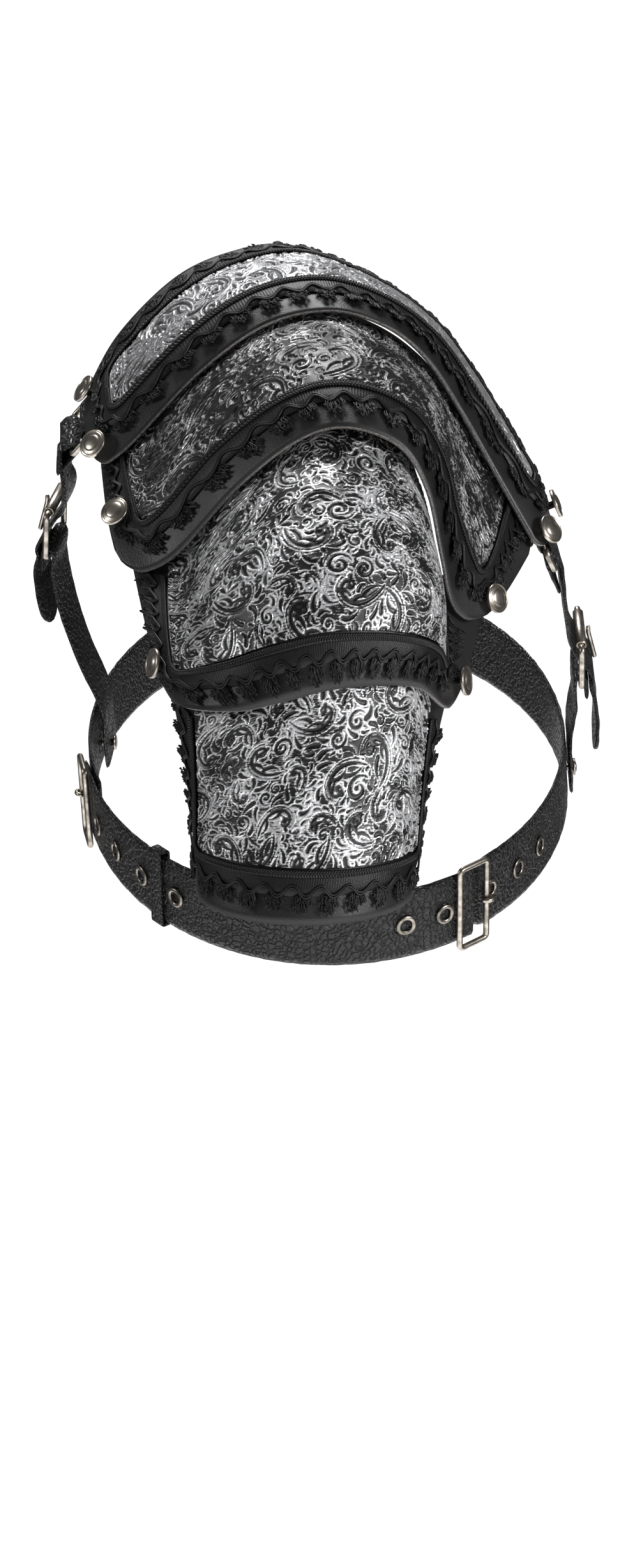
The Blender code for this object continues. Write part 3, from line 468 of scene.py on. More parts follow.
lame_1 = Lame([body_point(row.upper_x, row.upper_y, row.upper_z) for row in LAME_1],
              [body_point(row.lower_x, row.lower_y, row.lower_z) for row in LAME_1],
              [row.bulge * PERCENT * RISE for row in LAME_1])
lame_2 = tucked_lame(LAME_2, lame_1)
lame_3 = tucked_lame(LAME_3, lame_2)
lame_4 = cuff_lame(lame_3)
LAMES = {1: lame_1, 2: lame_2, 3: lame_3, 4: lame_4}
SEAT = lame_1.at(0.5, 4 / 9, -LEATHER)[0]
print("seat:", np.round(SEAT, 4), "lengths:", [round(lame.length, 3) for lame in LAMES.values()])

# %% [markdown]
# ## Laying a grid
# Every sheet, strap and thread here starts as one flat grid, made by the grid operator, whose points are
# then laid on an array of places. A tube is such a grid rolled up, and its seam is welded by merging
# doubles. A bundle of threads is one long grid cut into strands. Values such as `recess` are stored on the
# points in the same step.

# %% Grids
WELD = 0.000001


def lay_grid(points, marks=None, strand=0):
    """A bmesh grid laid on rows of points. With strand, every so many rows are a strand of their own."""
    rows, columns = points.shape[:2]
    made = bmesh.new()
    bmesh.ops.create_grid(made, x_segments=columns - 1, y_segments=rows - 1, size=1.0)
    if strand:
        bridges = [face for face in made.faces
                   if int((face.calc_center_median().y + 1) / 2 * (rows - 1)) % strand == strand - 1]
        bmesh.ops.delete(made, geom=bridges, context="FACES")
    mesh = bpy.data.meshes.new("laid")
    made.to_mesh(mesh)
    made.free()
    place = np.empty(len(mesh.vertices) * 3)
    mesh.vertices.foreach_get("co", place)
    place = place.reshape(-1, 3)
    column = np.rint((place[:, 0] + 1) / 2 * (columns - 1)).astype(int)
    row = np.rint((place[:, 1] + 1) / 2 * (rows - 1)).astype(int)
    mesh.vertices.foreach_set("co", (points[row, column] - SEAT).ravel())
    for name, values in (marks or {}).items():
        kind, key = ("FLOAT", "value") if values.ndim == 2 else ("FLOAT_VECTOR", "vector")
        mesh.attributes.new(name, kind, "POINT").data.foreach_set(key, values[row, column].ravel())
    made = bmesh.new()
    made.from_mesh(mesh)
    bpy.data.meshes.remove(mesh)
    bmesh.ops.remove_doubles(made, verts=made.verts, dist=WELD)
    return made


# %% Tubes
def tubes(paths, ups, outline):
    """A bundle of strands: paths of points, their up directions, and one outline (side, up) for all.

    The outline may differ at each step; its first and last are drawn to a point, which closes the ends.
    """
    count, steps = paths.shape[:2]
    forward = unit(np.gradient(paths, axis=1))
    side = unit(np.cross(forward, ups))
    up = np.cross(side, forward)
    outline = np.broadcast_to(outline, (count, steps, *outline.shape[-2:])).copy()
    outline[:, (0, -1)] = 0
    rings = (paths[:, :, None] + side[:, :, None] * outline[..., :1] + up[:, :, None] * outline[..., 1:])
    rings = np.concatenate([rings, rings[:, :, :1]], axis=2)
    return lay_grid(rings.reshape(count * steps, -1, 3), strand=steps)


def round_outline(radius, sides):
    """A circle as (side, up) points, wound so that the tube's faces point outwards."""
    angle = np.linspace(0, -2 * pi, sides, endpoint=False)
    return radius * np.stack([np.cos(angle), np.sin(angle)], axis=1)


# %% Finished pieces
def finished(name, made, materials, slot, *nodes):
    """Turn a bmesh into a smooth piece that rides on the part and stands for its CAD nodes."""
    mesh = bpy.data.meshes.new(name)
    made.to_mesh(mesh)
    made.free()
    for material in materials:
        mesh.materials.append(material)
    mesh.shade_smooth()
    piece = bpy.data.objects.new(name, mesh)
    bpy.context.scene.collection.objects.link(piece)
    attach(piece, "root")
    if nodes:
        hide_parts(*nodes)
    return piece


# %% [markdown]
# ## The leather plates
# Each plate is cut with rounded corners and 2 mm thick. The sheet is laid out finely enough that no facet
# shows on the outline, and Solidify gives it its wall towards the arm. The wall's rim takes the second
# material, the raw backing that shows at a cut.

# %% Plates
Layout = namedtuple("Layout", "corner edge rear front start")
LAYOUTS = {
    1: Layout(0.70, 0.40, 0.750, 0.925, 0.50),
    2: Layout(0.90, 0.50, 0.300, 0.600, 0.20),
    3: Layout(0.80, 0.33, 0.300, 0.900, 1.90),
    4: Layout(0.80, 0.43, 0.200, 0.200, 1.20),
}
HIDDEN_EDGE = 0.012     # how far a panel stays off the upper edge, under the plate above
BESIDE = TRIM_WIDTH + GAP + FACET
PLATE_FACES = (112, 36)     # columns and rows


def sheet_places(lame, rear, front, upper, lower, corner, columns, rows):
    """Places on the flat pattern of a sheet set in from the plate's edges, with rounded corners."""
    even = np.linspace(0, 1, columns + 1)
    across = (3 * even + (1 - np.cos(pi * even)) / 2) / 4
    x = rear + across * (lame.length - rear - front)
    near = np.minimum(x - rear, lame.length - front - x)
    cut = np.where(near < corner, corner - np.sqrt(np.maximum(corner ** 2 - (corner - near) ** 2, 0)), 0)
    top, bottom = upper + cut, lame.width - lower - cut
    share = np.linspace(0, 1, rows + 1)[::-1, None]
    y = top + share * (bottom - top)
    return np.broadcast_to(x, y.shape), y


for number, lame in LAMES.items():
    layout = LAYOUTS[number]
    x, y = sheet_places(lame, 0, 0, 0, 0, layout.corner * TRIM_WIDTH, *PLATE_FACES)
    plate = finished(f"plate_{number}", lay_grid(lame.on_pattern(x, y)[0]), (faux_leather, cut_edge),
                     "black_leather", f"lame_{number}")
    wall = plate.modifiers.new("wall", "SOLIDIFY")
    wall.thickness, wall.offset, wall.material_offset_rim = LEATHER, -1, 1
    print(plate.name, "is", round(lame.length, 3), "m long and", round(lame.width, 3), "m wide")

# %% [markdown]
# ## Scrollwork
# Embossed leather is pressed with an engraved plate. This pattern is a plain acanthus scroll of no one's in
# particular: sprays that roll up into a spiral with leaves on both sides, single spirals, three-petalled
# flowers and leaves like commas. Each stroke is a row of round dabs of changing size. Strokes are tried at
# random places, biggest first, and kept where they touch none that is already there, as a tooler fills a
# panel by eye. The random draws have a fixed seed.


# %% Strokes
def scroll(size, turns, hand):
    """A spiral that is fat in its outer turn and ends in a round eye."""
    t = np.linspace(0, 1, 60)
    angle = hand * turns * 2 * pi * t
    reach = size * (1 - 0.86 * t ** 0.8)
    dab = size * 0.13 * (0.25 + np.sin(pi * np.clip(t * 1.25, 0, 1)) ** 0.8)
    dab[-3:] = size * 0.15
    return np.stack([reach * np.cos(angle), reach * np.sin(angle)], axis=1), dab


def leaf(length, bend, fat):
    """A comma: a thin curved tail that swells to a round head."""
    t = np.linspace(0, 1, 26)
    angle = bend * t
    step = length / 25
    points = np.cumsum(np.stack([np.cos(angle), np.sin(angle)], axis=1) * step, axis=0)
    dab = fat * (0.12 + 0.88 * np.sin(pi * 0.5 * np.clip(t * 1.12, 0, 1)) ** 1.6)
    return points - points.mean(axis=0), dab


def turned_by(points, angle):
    """Flat points turned round the origin."""
    return points @ np.array([[cos(angle), sin(angle)], [-sin(angle), cos(angle)]])


def spray(size, hand, draws):
    """An acanthus spray: a vein that rolls up into a spiral, with leaves off both sides and a second line."""
    t = np.linspace(0, 1, 90)
    angle = hand * (0.7 * np.sin(pi * t * 1.1) + draws.uniform(7.5, 9.0) * t ** 2.6)
    step = size / 60 * (1 - 0.72 * t ** 1.5)[:, None]
    vein = np.cumsum(np.stack([np.cos(angle), np.sin(angle)], axis=1) * step, axis=0)
    thick = size * 0.020 * (0.35 + np.sin(pi * np.clip(t * 1.1, 0, 1)) ** 0.7)
    thick[-4:] = size * 0.034
    places, dabs = [vein], [thick]
    beside = np.stack([-np.sin(angle), np.cos(angle)], axis=1)
    places.append(vein[4:62] - beside[4:62] * hand * size * 0.052)
    dabs.append(np.full(58, size * 0.0075))
    for k in range(7):
        root, out = 3 + 8 * k, hand * (-1 if k % 2 else 1)
        long = size * (0.27 - 0.018 * k) * draws.uniform(0.85, 1.1)
        points, sizes = leaf(long, -out * draws.uniform(0.9, 1.6), size * 0.026)
        points = turned_by(points - points[0], angle[root] + out * draws.uniform(0.95, 1.25))
        places.append(vein[root] + beside[root] * out * size * (0.035 if out == hand else 0.085) + points)
        dabs.append(sizes)
    return np.concatenate(places), np.concatenate(dabs)


def flower(size):
    """Three drops that meet in a point."""
    points, sizes = leaf(size, 0.5, size * 0.20)
    points = points - points[0] * 1.2
    three = [turned_by(points, turn) for turn in (-0.95, 0.0, 0.95)]
    return np.concatenate(three), np.tile(sizes, 3)


# %% What fills a panel
Round = namedtuple("Round", "kind tries size_low size_high")
ROUNDS = (
    Round("spray", 500, 0.038, 0.052),
    Round("spray", 900, 0.024, 0.034),
    Round("scroll", 350, 0.0050, 0.0085),
    Round("spray", 900, 0.014, 0.021),
    Round("flower", 700, 0.0055, 0.0085),
    Round("scroll", 500, 0.0030, 0.0045),
    Round("leaf", 2200, 0.0070, 0.0130),
    Round("leaf", 4200, 0.0030, 0.0065),
)
ROOM = 0.0007           # ground left between two strokes
CELL, REACH_CELLS = 0.0004, 8
TRIES_AREA = 0.024      # square metres of panel that the tries are counted for
FAR = 0.010             # a distance that counts as no stroke near


def make_stroke(kind, size, draws):
    """One stroke of a kind, turning to either hand."""
    hand = 1 if draws.random() < 0.5 else -1
    if kind == "spray":
        return spray(size, hand, draws)
    if kind == "flower":
        return flower(size)
    if kind == "scroll":
        return scroll(size, draws.uniform(1.2, 1.9), hand)
    return leaf(size, draws.uniform(0.6, 2.2) * hand, min(0.16 * size, 0.0015))


# %% Filling a panel
def fill_panel(width, height, seed):
    """Every dab's place and radius. A coarse map holds how far each cell is from a stroke."""
    draws = np.random.default_rng(seed)
    shape = (round(height / CELL) + 1, round(width / CELL) + 1)
    free = np.full(shape, FAR)
    places, dabs = [], []
    around = np.arange(-REACH_CELLS, REACH_CELLS + 1)
    disc = np.hypot(*np.meshgrid(around, around)) * CELL
    for kind, tries, low, high in ROUNDS:
        for _ in range(int(tries * width * height / TRIES_AREA)):
            points, sizes = make_stroke(kind, draws.uniform(low, high), draws)
            points = turned_by(points - points.mean(axis=0), draws.uniform(0, 2 * pi))
            points = points + draws.uniform((0, 0), (width, height))
            cell = np.rint(points / CELL).astype(int)
            held = np.all((cell >= 0) & (cell < shape[::-1]), axis=1)
            if np.any(free[cell[held, 1], cell[held, 0]] < sizes[held] + ROOM):
                continue
            places.append(points)
            dabs.append(sizes)
            for (column, row), dab in zip(cell[held][::2], sizes[held][::2]):
                first_row, first_column = max(row - REACH_CELLS, 0), max(column - REACH_CELLS, 0)
                window = free[first_row:row + REACH_CELLS + 1, first_column:column + REACH_CELLS + 1]
                cut_row, cut_column = first_row - row + REACH_CELLS, first_column - column + REACH_CELLS
                near = disc[cut_row:cut_row + window.shape[0], cut_column:cut_column + window.shape[1]]
                np.minimum(window, near - dab, out=window)
    return np.concatenate(places), np.concatenate(dabs)


# %% Distance to the strokes
DISTANCE_REACH = 0.003


def distance_to_strokes(x, y, places, dabs):
    """How far each point is from the nearest stroke's edge: negative inside a stroke."""
    nearest = np.full(x.shape, FAR)
    for (px, py), dab in zip(places, dabs):
        close = np.nonzero(np.abs(x[0] - px) < dab + DISTANCE_REACH)[0]
        if len(close) == 0:
            continue
        columns = slice(close[0], close[-1] + 1)
        band = np.nonzero(np.abs(y[:, close[len(close) // 2]] - py) < dab + DISTANCE_REACH + 0.001)[0]
        if len(band) == 0:
            continue
        rows = slice(band[0], band[-1] + 1)
        gap = np.hypot(x[rows, columns] - px, y[rows, columns] - py) - dab
        nearest[rows, columns] = np.minimum(nearest[rows, columns], gap)
    return nearest


# %% [markdown]
# ## The embossed panels
# The distance to the nearest stroke shapes the leather: it is pressed down inside a stroke, and swells into
# a narrow rim just outside it. The same distance is stored as `recess` and `rim` for the material. The
# panel ends just beside the braid's inner edge.

# %% Panels
PANEL_POINT = 0.00062       # spacing of the grid on a panel
STROKE_DEPTH, RIM_HEIGHT = 0.0008, 0.0003
STROKE_EDGE, RIM_PLACE, RIM_WIDTH = 0.00045, 0.00060, 0.00038

for number, lame in LAMES.items():
    layout = LAYOUTS[number]
    rear, front, lower = (share * TRIM_WIDTH + BESIDE for share in (layout.rear, layout.front, layout.edge))
    upper = lower if number == 1 else HIDDEN_EDGE
    long, wide = lame.length - rear - front, lame.width - upper - lower
    columns, rows = round(long / PANEL_POINT), round(wide / PANEL_POINT)
    x, y = sheet_places(lame, rear, front, upper, lower, BRAID_TURN, columns, rows)
    places, dabs = fill_panel(long, wide, seed=40 + number)
    away = distance_to_strokes(x - rear, y - upper, places, dabs)
    recess = np.clip(0.5 - away / STROKE_EDGE, 0, 1)
    recess = recess ** 2 * (3 - 2 * recess)
    rim = np.exp(-((away - RIM_PLACE) / RIM_WIDTH) ** 2)
    lift = GAP + FACET + PANEL - STROKE_DEPTH * recess + RIM_HEIGHT * rim
    marks = {"recess": recess, "rim": rim, "flat": np.stack([x, y, np.zeros_like(x)], axis=2)}
    made = lay_grid(lame.on_pattern(x, y, lift)[0], marks)
    finished(f"embossed_panel_{number}", made, (FOILS[number],), "silver_rubbed_leather", f"panel_{number}")
    print("panel", number, "has", len(dabs), "dabs and", columns * rows * 2, "triangles")

# %% [markdown]
# ## The braid's path
# The braid runs round the panel on the flat pattern: down the rear end, along the lower edge and up the
# front end, and right round on the top plate. A place in the braid is a distance along it, a distance
# across it and a lift off the leather.


# %% Braid path
class Edging:
    """The path of a braid on a plate, rounded at the corners."""

    def __init__(self, lame, rear, front, edge, start, closed):
        self.lame = lame
        half = TRIM_WIDTH / 2
        turn = half + BRAID_TURN
        near, far = rear + half, lame.length - front - half
        bottom, top = lame.width - edge - half, edge + half
        corners = [(near, bottom, pi), (far, bottom, pi / 2)]
        first, last = (near, start, -1, 0), (far, start, 1, 0)
        if closed:
            corners += [(far, top, 0), (near, top, -pi / 2)]
            first = last = (near, lame.width / 2, -1, 0)
        knots = [first]
        for x, y, begin in corners:
            middle_x = x + turn * (1 if x == near else -1)
            middle_y = y + turn * (-1 if y == bottom else 1)
            for angle in np.linspace(begin, begin - pi / 2, 13):
                knots.append((middle_x + turn * cos(angle), middle_y + turn * sin(angle),
                              cos(angle), sin(angle)))
        self.knots = np.array(knots + [last])
        steps = np.hypot(*np.diff(self.knots[:, :2], axis=0).T)
        self.run = np.concatenate([[0], np.cumsum(steps)])
        self.length = self.run[-1]

    def at(self, along, across, lift):
        """Points in space, and the leather's normals there. Across is positive away from the panel."""
        x, y, out_x, out_y = (np.interp(along, self.run, self.knots[:, k]) for k in range(4))
        size = np.hypot(out_x, out_y)
        return self.lame.on_pattern(x + out_x / size * across, y + out_y / size * across, lift)


edgings = {}
for number, lame in LAMES.items():
    layout = LAYOUTS[number]
    edge, rear, front, start = (TRIM_WIDTH * share for share in layout[1:])
    edgings[number] = Edging(lame, rear, front, edge, start, closed=number == 1)
print("braid lengths:", [round(edging.length, 3) for edging in edgings.values()])

# %% [markdown]
# ## Plait, tape and waves
# Beside the panel lies a flat plait of three cords. A tape carries everything, ribbed across every 1.6 mm.
# Over the tape's outer half a pair of thin cords runs side by side in waves of 17.5 mm. All three follow the
# same path: the plait and the cords are tubes, each with its own swing across it, and the tape is a sheet.

# %% Braid measures
BRAID_FLOOR = GAP + FACET
PLAIT_PITCH, PLAIT_ACROSS, PLAIT_SWING, PLAIT_CORD = 0.0052, -0.0078, 0.0014, 0.00068
PLAIT_LIFT, PLAIT_WEAVE = 0.0005, 0.0004
TAPE_INNER, TAPE_OUTER, TAPE_HEIGHT, RIB, RIB_DEPTH = -0.0100, 0.0035, 0.0012, 0.0016, 0.10
TAPE_DOME = np.array([0, 0.8, 1, 1, 1, 1, 1, 0.8, 0])
WAVE_PITCH, WAVE_ACROSS, WAVE_SWING, WAVE_CORD = 0.0175, 0.0012, 0.0026, 0.00055
CORD_APART = 1.15 * WAVE_CORD
print("a wave every", WAVE_PITCH * 1000, "mm")

# %% Plait, tape and wavy cords
for number, edging in edgings.items():
    steps = round(edging.length / PLAIT_PITCH * 9)
    along = np.linspace(0, edging.length, steps)
    paths, ups = [], []
    for cord in range(3):
        swing = 2 * pi * (along / PLAIT_PITCH + cord / 3)
        lift = BRAID_FLOOR + TAPE_HEIGHT + PLAIT_LIFT + PLAIT_WEAVE * np.sin(2 * swing)
        path, up = edging.at(along, PLAIT_ACROSS + PLAIT_SWING * np.sin(swing), lift)
        paths.append(path)
        ups.append(up)
    plait = tubes(np.array(paths), np.array(ups), round_outline(PLAIT_CORD, 6))
    finished(f"plait_{number}", plait, (rayon,), "black_braid")

    steps = round(edging.length / RIB * 3)
    along = np.linspace(0, edging.length, steps)
    across = np.linspace(TAPE_INNER, TAPE_OUTER, len(TAPE_DOME))
    ribs = 1 + RIB_DEPTH * np.sin(2 * pi * along / RIB)
    lift = BRAID_FLOOR + TAPE_HEIGHT * ribs[None, :] * TAPE_DOME[:, None]
    along, across = np.broadcast_arrays(along, across[:, None])
    points, _ = edging.at(along, across, lift)
    finished(f"tape_{number}", lay_grid(points[:, ::-1]), (rayon,), "black_braid", f"trim_{number}")

    steps = round(edging.length / WAVE_PITCH * 14)
    along = np.linspace(0, edging.length, steps)
    paths, ups = [], []
    for cord in (-1, 1):
        wave = WAVE_ACROSS + cord * CORD_APART + WAVE_SWING * np.sin(2 * pi * along / WAVE_PITCH)
        path, up = edging.at(along, wave, np.full(steps, BRAID_FLOOR + TAPE_HEIGHT + WAVE_CORD))
        paths.append(path)
        ups.append(up)
    finished(f"wavy_cords_{number}", tubes(np.array(paths), np.array(ups), round_outline(WAVE_CORD, 6)),
             (rayon,), "black_braid")
print("plait, tape and cords on", len(edgings), "plates")

# %% [markdown]
# ## Tufts
# Under each outward bend of the waves sits a tuft: a fan of looped thread, crinkled because the thread was
# twisted. A loop goes out and comes back beside itself, and no two are alike, so the length, the slant and
# the crinkle are drawn at random from a fixed seed.

# %% Tufts
LOOPS, LOOP_STEPS, THREAD = 12, 16, 0.00040
TUFT_ROOT, TUFT_LIFT = 0.0015, 0.0004
LOOP_WIDTHS, LOOP_RISES = (0.0008, 0.0016), (0.0004, 0.0018)
CRINKLES, CRINKLE_WAVES = (0.0005, 0.0011), (3.5, 5.0)
Tufting = namedtuple("Tufting", "reach spread")
TUFTINGS = {1: Tufting(0.0095, 0.0066), 2: Tufting(0.0120, 0.0066), 3: Tufting(0.0125, 0.0062),
            4: Tufting(0.0120, 0.0062)}


def tuft_paths(edging, tufting, draws):
    """Paths of all loops of a braid's tufts, and the up directions along them."""
    tufts = round(edging.length / WAVE_PITCH)
    middles = (np.arange(tufts) + 0.25) * edging.length / tufts
    paths, ups = [], []
    t = np.linspace(0, 1, LOOP_STEPS)
    for middle in middles:
        for loop in range(LOOPS):
            slant = (loop + 0.5) / LOOPS * 2 - 1 + draws.uniform(-0.12, 0.12)
            reach = tufting.reach * (1 - 0.45 * slant ** 2) * draws.uniform(0.70, 1.05)
            out = np.sin(pi * t)
            width = draws.uniform(*LOOP_WIDTHS)
            size = draws.uniform(*CRINKLES)
            crinkle = size * np.sin(2 * pi * (t * draws.uniform(*CRINKLE_WAVES) + draws.random()))
            across = TUFT_ROOT + reach * out + crinkle
            along = middle + slant * tufting.spread * (0.35 + 0.65 * out) + width * np.cos(pi * t) + crinkle
            lift = BRAID_FLOOR + TUFT_LIFT + draws.uniform(*LOOP_RISES) * np.sin(pi * t) ** 0.7
            along = np.clip(along, 0, edging.length)
            path, up = edging.at(along, across, lift)
            paths.append(path)
            ups.append(up)
    return np.array(paths), np.array(ups)


thread_draws = np.random.default_rng(7)
for number, edging in edgings.items():
    paths, ups = tuft_paths(edging, TUFTINGS[number], thread_draws)
    finished(f"tufts_{number}", tubes(paths, ups, round_outline(THREAD, 4)), (rayon,), "black_braid")
    print("tufts on plate", number, ":", len(paths) // LOOPS)

# %% [markdown]
# ## Strap leather and nickel
# The straps and the belt are a vintage finish: black coating over soft leather that has cracked and
# wrinkled in wear. The wrinkles are long cells, bent by noise, and the ridges between them are polished,
# so they are smoother, and they carry a painted highlight: a lighter grey where they are high. The hardware
# is nickel plate, darkened in a bath and rubbed back, so it is warm grey with dark clouds.

# %% Crackled leather
DRIFTS_A_METRE, GRAINS_A_METRE = 160.0, 700.0     # noise of about 6 mm and 1.4 mm
DRIFT, WRINKLE = 0.004, 0.0032
crackled, tree, shader = new_material("crackled_strap_leather")
coordinate = add_node(tree, "TexCoord")
drift = add_node(tree, "TexNoise", {"Vector": coordinate.outputs["Object"], "Scale": DRIFTS_A_METRE,
                                    "Detail": 3.0})
swirl = add_node(tree, "VectorMath", {0: drift.outputs["Color"], 1: (DRIFT, DRIFT, DRIFT)},
                 operation="MULTIPLY")
moved = add_node(tree, "VectorMath", {0: coordinate.outputs["Object"], 1: swirl.outputs["Vector"]},
                 operation="ADD")
wrinkle = add_node(tree, "TexVoronoi", {"Vector": moved.outputs["Vector"], "Scale": 1 / WRINKLE},
                   feature="DISTANCE_TO_EDGE")
grain = add_node(tree, "TexNoise", {"Vector": coordinate.outputs["Object"], "Scale": GRAINS_A_METRE,
                                    "Detail": 4.0})
ridge = add_node(tree, "MapRange", {"Value": wrinkle.outputs["Distance"], "From Min": 0.0, "From Max": 0.22})
height = add_node(tree, "Math", {0: grain.outputs["Fac"], 1: 0.5, 2: ridge.outputs["Result"]},
                  operation="MULTIPLY_ADD")
# Painted highlight: the ramp gives the high ridges a lighter grey as a glint, on top of the grain's own tone.
tone = add_node(tree, "ValToRGB", {"Fac": height.outputs["Value"]})
tone.color_ramp.elements[0].position, tone.color_ramp.elements[1].position = 0.25, 0.85
tone.color_ramp.elements[0].color = linear("#050506")
tone.color_ramp.elements[1].color = linear("#141313")
polish = add_node(tree, "MapRange", {"Value": height.outputs["Value"], "From Min": 0.4, "From Max": 1.4,
                                     "To Min": 0.60, "To Max": 0.24})
relief = add_node(tree, "Bump", {"Height": height.outputs["Value"], "Strength": 0.9, "Distance": 0.0008})
shader.inputs["Specular IOR Level"].default_value = 0.38
tree.links.new(tone.outputs["Color"], shader.inputs["Base Color"])
tree.links.new(polish.outputs["Result"], shader.inputs["Roughness"])
tree.links.new(relief.outputs["Normal"], shader.inputs["Normal"])
print("straps:", crackled.name)

# %% Nickel
TARNISH_A_METRE = 220.0      # a cloud of tarnish is about 4.5 mm


def nickel(name, dark, bright, low, high):
    """Antiqued nickel plate between two tones, with the roughness of its polished and its dull places."""
    made, tree, shader = new_material(name)
    coordinate = add_node(tree, "TexCoord")
    cloud = add_node(tree, "TexNoise", {"Vector": coordinate.outputs["Object"], "Scale": TARNISH_A_METRE,
                                        "Detail": 5.0})
    tone = add_node(tree, "ValToRGB", {"Fac": cloud.outputs["Fac"]})
    tone.color_ramp.elements[0].position, tone.color_ramp.elements[1].position = 0.35, 0.65
    tone.color_ramp.elements[0].color, tone.color_ramp.elements[1].color = linear(dark), linear(bright)
    rough = add_node(tree, "MapRange", {"Value": cloud.outputs["Fac"], "From Min": 0.3, "From Max": 0.7,
                                        "To Min": high, "To Max": low})
    tree.links.new(tone.outputs["Color"], shader.inputs["Base Color"])
    tree.links.new(rough.outputs["Result"], shader.inputs["Roughness"])
    shader.inputs["Metallic"].default_value = 1.0
    return made


warm_nickel = nickel("antiqued_nickel", "#7D766E", "#C2BAB0", 0.24, 0.38)
dark_nickel = nickel("blackened_nickel", "#5A5650", "#A39C93", 0.26, 0.40)
print("metal:", warm_nickel.name, "and", dark_nickel.name)

# %% [markdown]
# ## Bands and loops
# A strap is a tube with a flat outline. Its width narrows at a rounded tip, its edge wanders a little, and
# slow ripples lift it, because old straps are never flat. A buckle or ring is a tube that closes on itself,
# and a cap is a profile turned on the spin operator, as on a lathe.


# %% Rows and ripples
def rows_along(points, across, spacing, start, end, half):
    """A strap's middle points and across directions at an even spacing, closer at rounded ends."""
    run = np.concatenate([[0], np.cumsum(np.linalg.norm(np.diff(points, axis=0), axis=1))])
    at = np.linspace(0, run[-1], round(run[-1] / spacing))
    near = half * (1 - np.cos(np.linspace(0.06, pi / 2, 10)))
    at = np.union1d(at, np.concatenate([near] * start + [run[-1] - near] * end + [[0]]))
    points = np.stack([np.interp(at, run, points[:, k]) for k in range(3)], axis=1)
    across = np.stack([np.interp(at, run, across[:, k]) for k in range(3)], axis=1)
    return at, points, unit(across)


def ripples(along, across, draws, pitch):
    """A slow wavy field between -1 and 1 over a strap."""
    field = 0
    for _ in range(5):
        turn, phase = draws.uniform(-0.9, 0.9), draws.uniform(0, 2 * pi)
        wave = 2 * pi / (pitch * draws.uniform(0.7, 1.6))
        field = field + np.sin(wave * (along * cos(turn) + across * sin(turn)) + phase) / 5
    return field


# %% Leather bands
BAND_STEP, BAND_POINTS, BAND_TIP = 0.0018, 17, 0.0004
EDGE_WANDER, EDGE_PITCH = 0.010, 0.006
RIPPLE, RIPPLE_PITCH = 0.00022, 0.011


def leather_band(name, points, across, half, thickness, node, start=False, end=False):
    """A strap of crackled leather through middle points, with a direction across it at each."""
    draws = np.random.default_rng(len(name) * 7 + int(half * 10000))
    at, middle, side = rows_along(np.array(points), unit(np.array(across)), BAND_STEP, start, end, half)
    edge = np.linspace(-1, 1, BAND_POINTS)
    dome = np.sqrt(1 - np.abs(edge) ** 12)
    ring = np.concatenate([np.stack([edge[::-1], -dome[::-1]], axis=1)[:-1],
                           np.stack([edge, dome], axis=1)[:-1]])
    left = at if start else np.full(len(at), half)
    right = at[-1] - at if end else np.full(len(at), half)
    near = np.clip(np.minimum(left, right), BAND_TIP, half)
    width = np.sqrt(half ** 2 - (half - near) ** 2)
    width = width * (1 + EDGE_WANDER * ripples(at, 0, draws, EDGE_PITCH))
    outline = np.empty((1, len(at), len(ring), 2))
    outline[0, :, :, 0] = width[:, None] * ring[None, :, 0]
    outline[0, :, :, 1] = thickness / 2 * ring[None, :, 1]
    outline[0, :, :, 1] += RIPPLE * ripples(at[:, None], outline[0, :, :, 0], draws, RIPPLE_PITCH)
    forward = unit(np.gradient(middle, axis=0))
    made = tubes(middle[None], np.cross(side, forward)[None], outline)
    return finished(name, made, (crackled,), "crackled_leather", node)


# %% Closed loops
def closed_loop(name, path, ups, outline, material, slot, node):
    """A tube along a closed path."""
    forward = unit(np.roll(path, -1, axis=0) - np.roll(path, 1, axis=0))
    side = unit(np.cross(forward, ups))
    up = np.cross(side, forward)
    rings = path[:, None] + side[:, None] * outline[None, :, :1] + up[:, None] * outline[None, :, 1:]
    rings = np.concatenate([rings, rings[:1]], axis=0)
    rings = np.concatenate([rings, rings[:, :1]], axis=1)
    return finished(name, lay_grid(rings), (material,), slot, node)


def wire_rectangle(name, middle, along, across, length, width, node):
    """A buckle frame or ring: round wire bent to a rectangle, sized between the middles of its bars."""
    path = []
    for side_a, side_w, begin in ((1, 1, 0), (-1, 1, pi / 2), (-1, -1, pi), (1, -1, 3 * pi / 2)):
        for angle in np.linspace(begin, begin + pi / 2, 8):
            reach_a = side_a * (length / 2 - FRAME_CORNER) + FRAME_CORNER * cos(angle)
            reach_w = side_w * (width / 2 - FRAME_CORNER) + FRAME_CORNER * sin(angle)
            path.append(middle + along * reach_a + across * reach_w)
    path = np.array(path)
    ups = np.broadcast_to(np.cross(along, across), path.shape)
    return closed_loop(name, path, ups, round_outline(WIRE_RADIUS, 14), warm_nickel, "antiqued_nickel", node)


# %% Rods and turned pieces
def wire_rod(name, points, up, radius, node):
    """A prong: a rod through points, with rounded ends."""
    points = np.array(points)
    run = np.concatenate([[0], np.cumsum(np.linalg.norm(np.diff(points, axis=0), axis=1))])
    ends = radius * np.array([0, 0.15, 0.5, 1.0])
    at = np.concatenate([ends, np.linspace(radius, run[-1] - radius, 18)[1:-1], run[-1] - ends[::-1]])
    path = np.stack([np.interp(at, run, points[:, k]) for k in range(3)], axis=1)
    near = np.minimum(at, run[-1] - at)
    size = np.sqrt(np.clip(1 - (1 - np.minimum(near / radius, 1)) ** 2, 0, 1))
    outline = round_outline(radius, 12)[None, None] * size[None, :, None, None]
    made = tubes(path[None], np.broadcast_to(up, path.shape)[None], outline)
    return finished(name, made, (warm_nickel,), "antiqued_nickel", node)


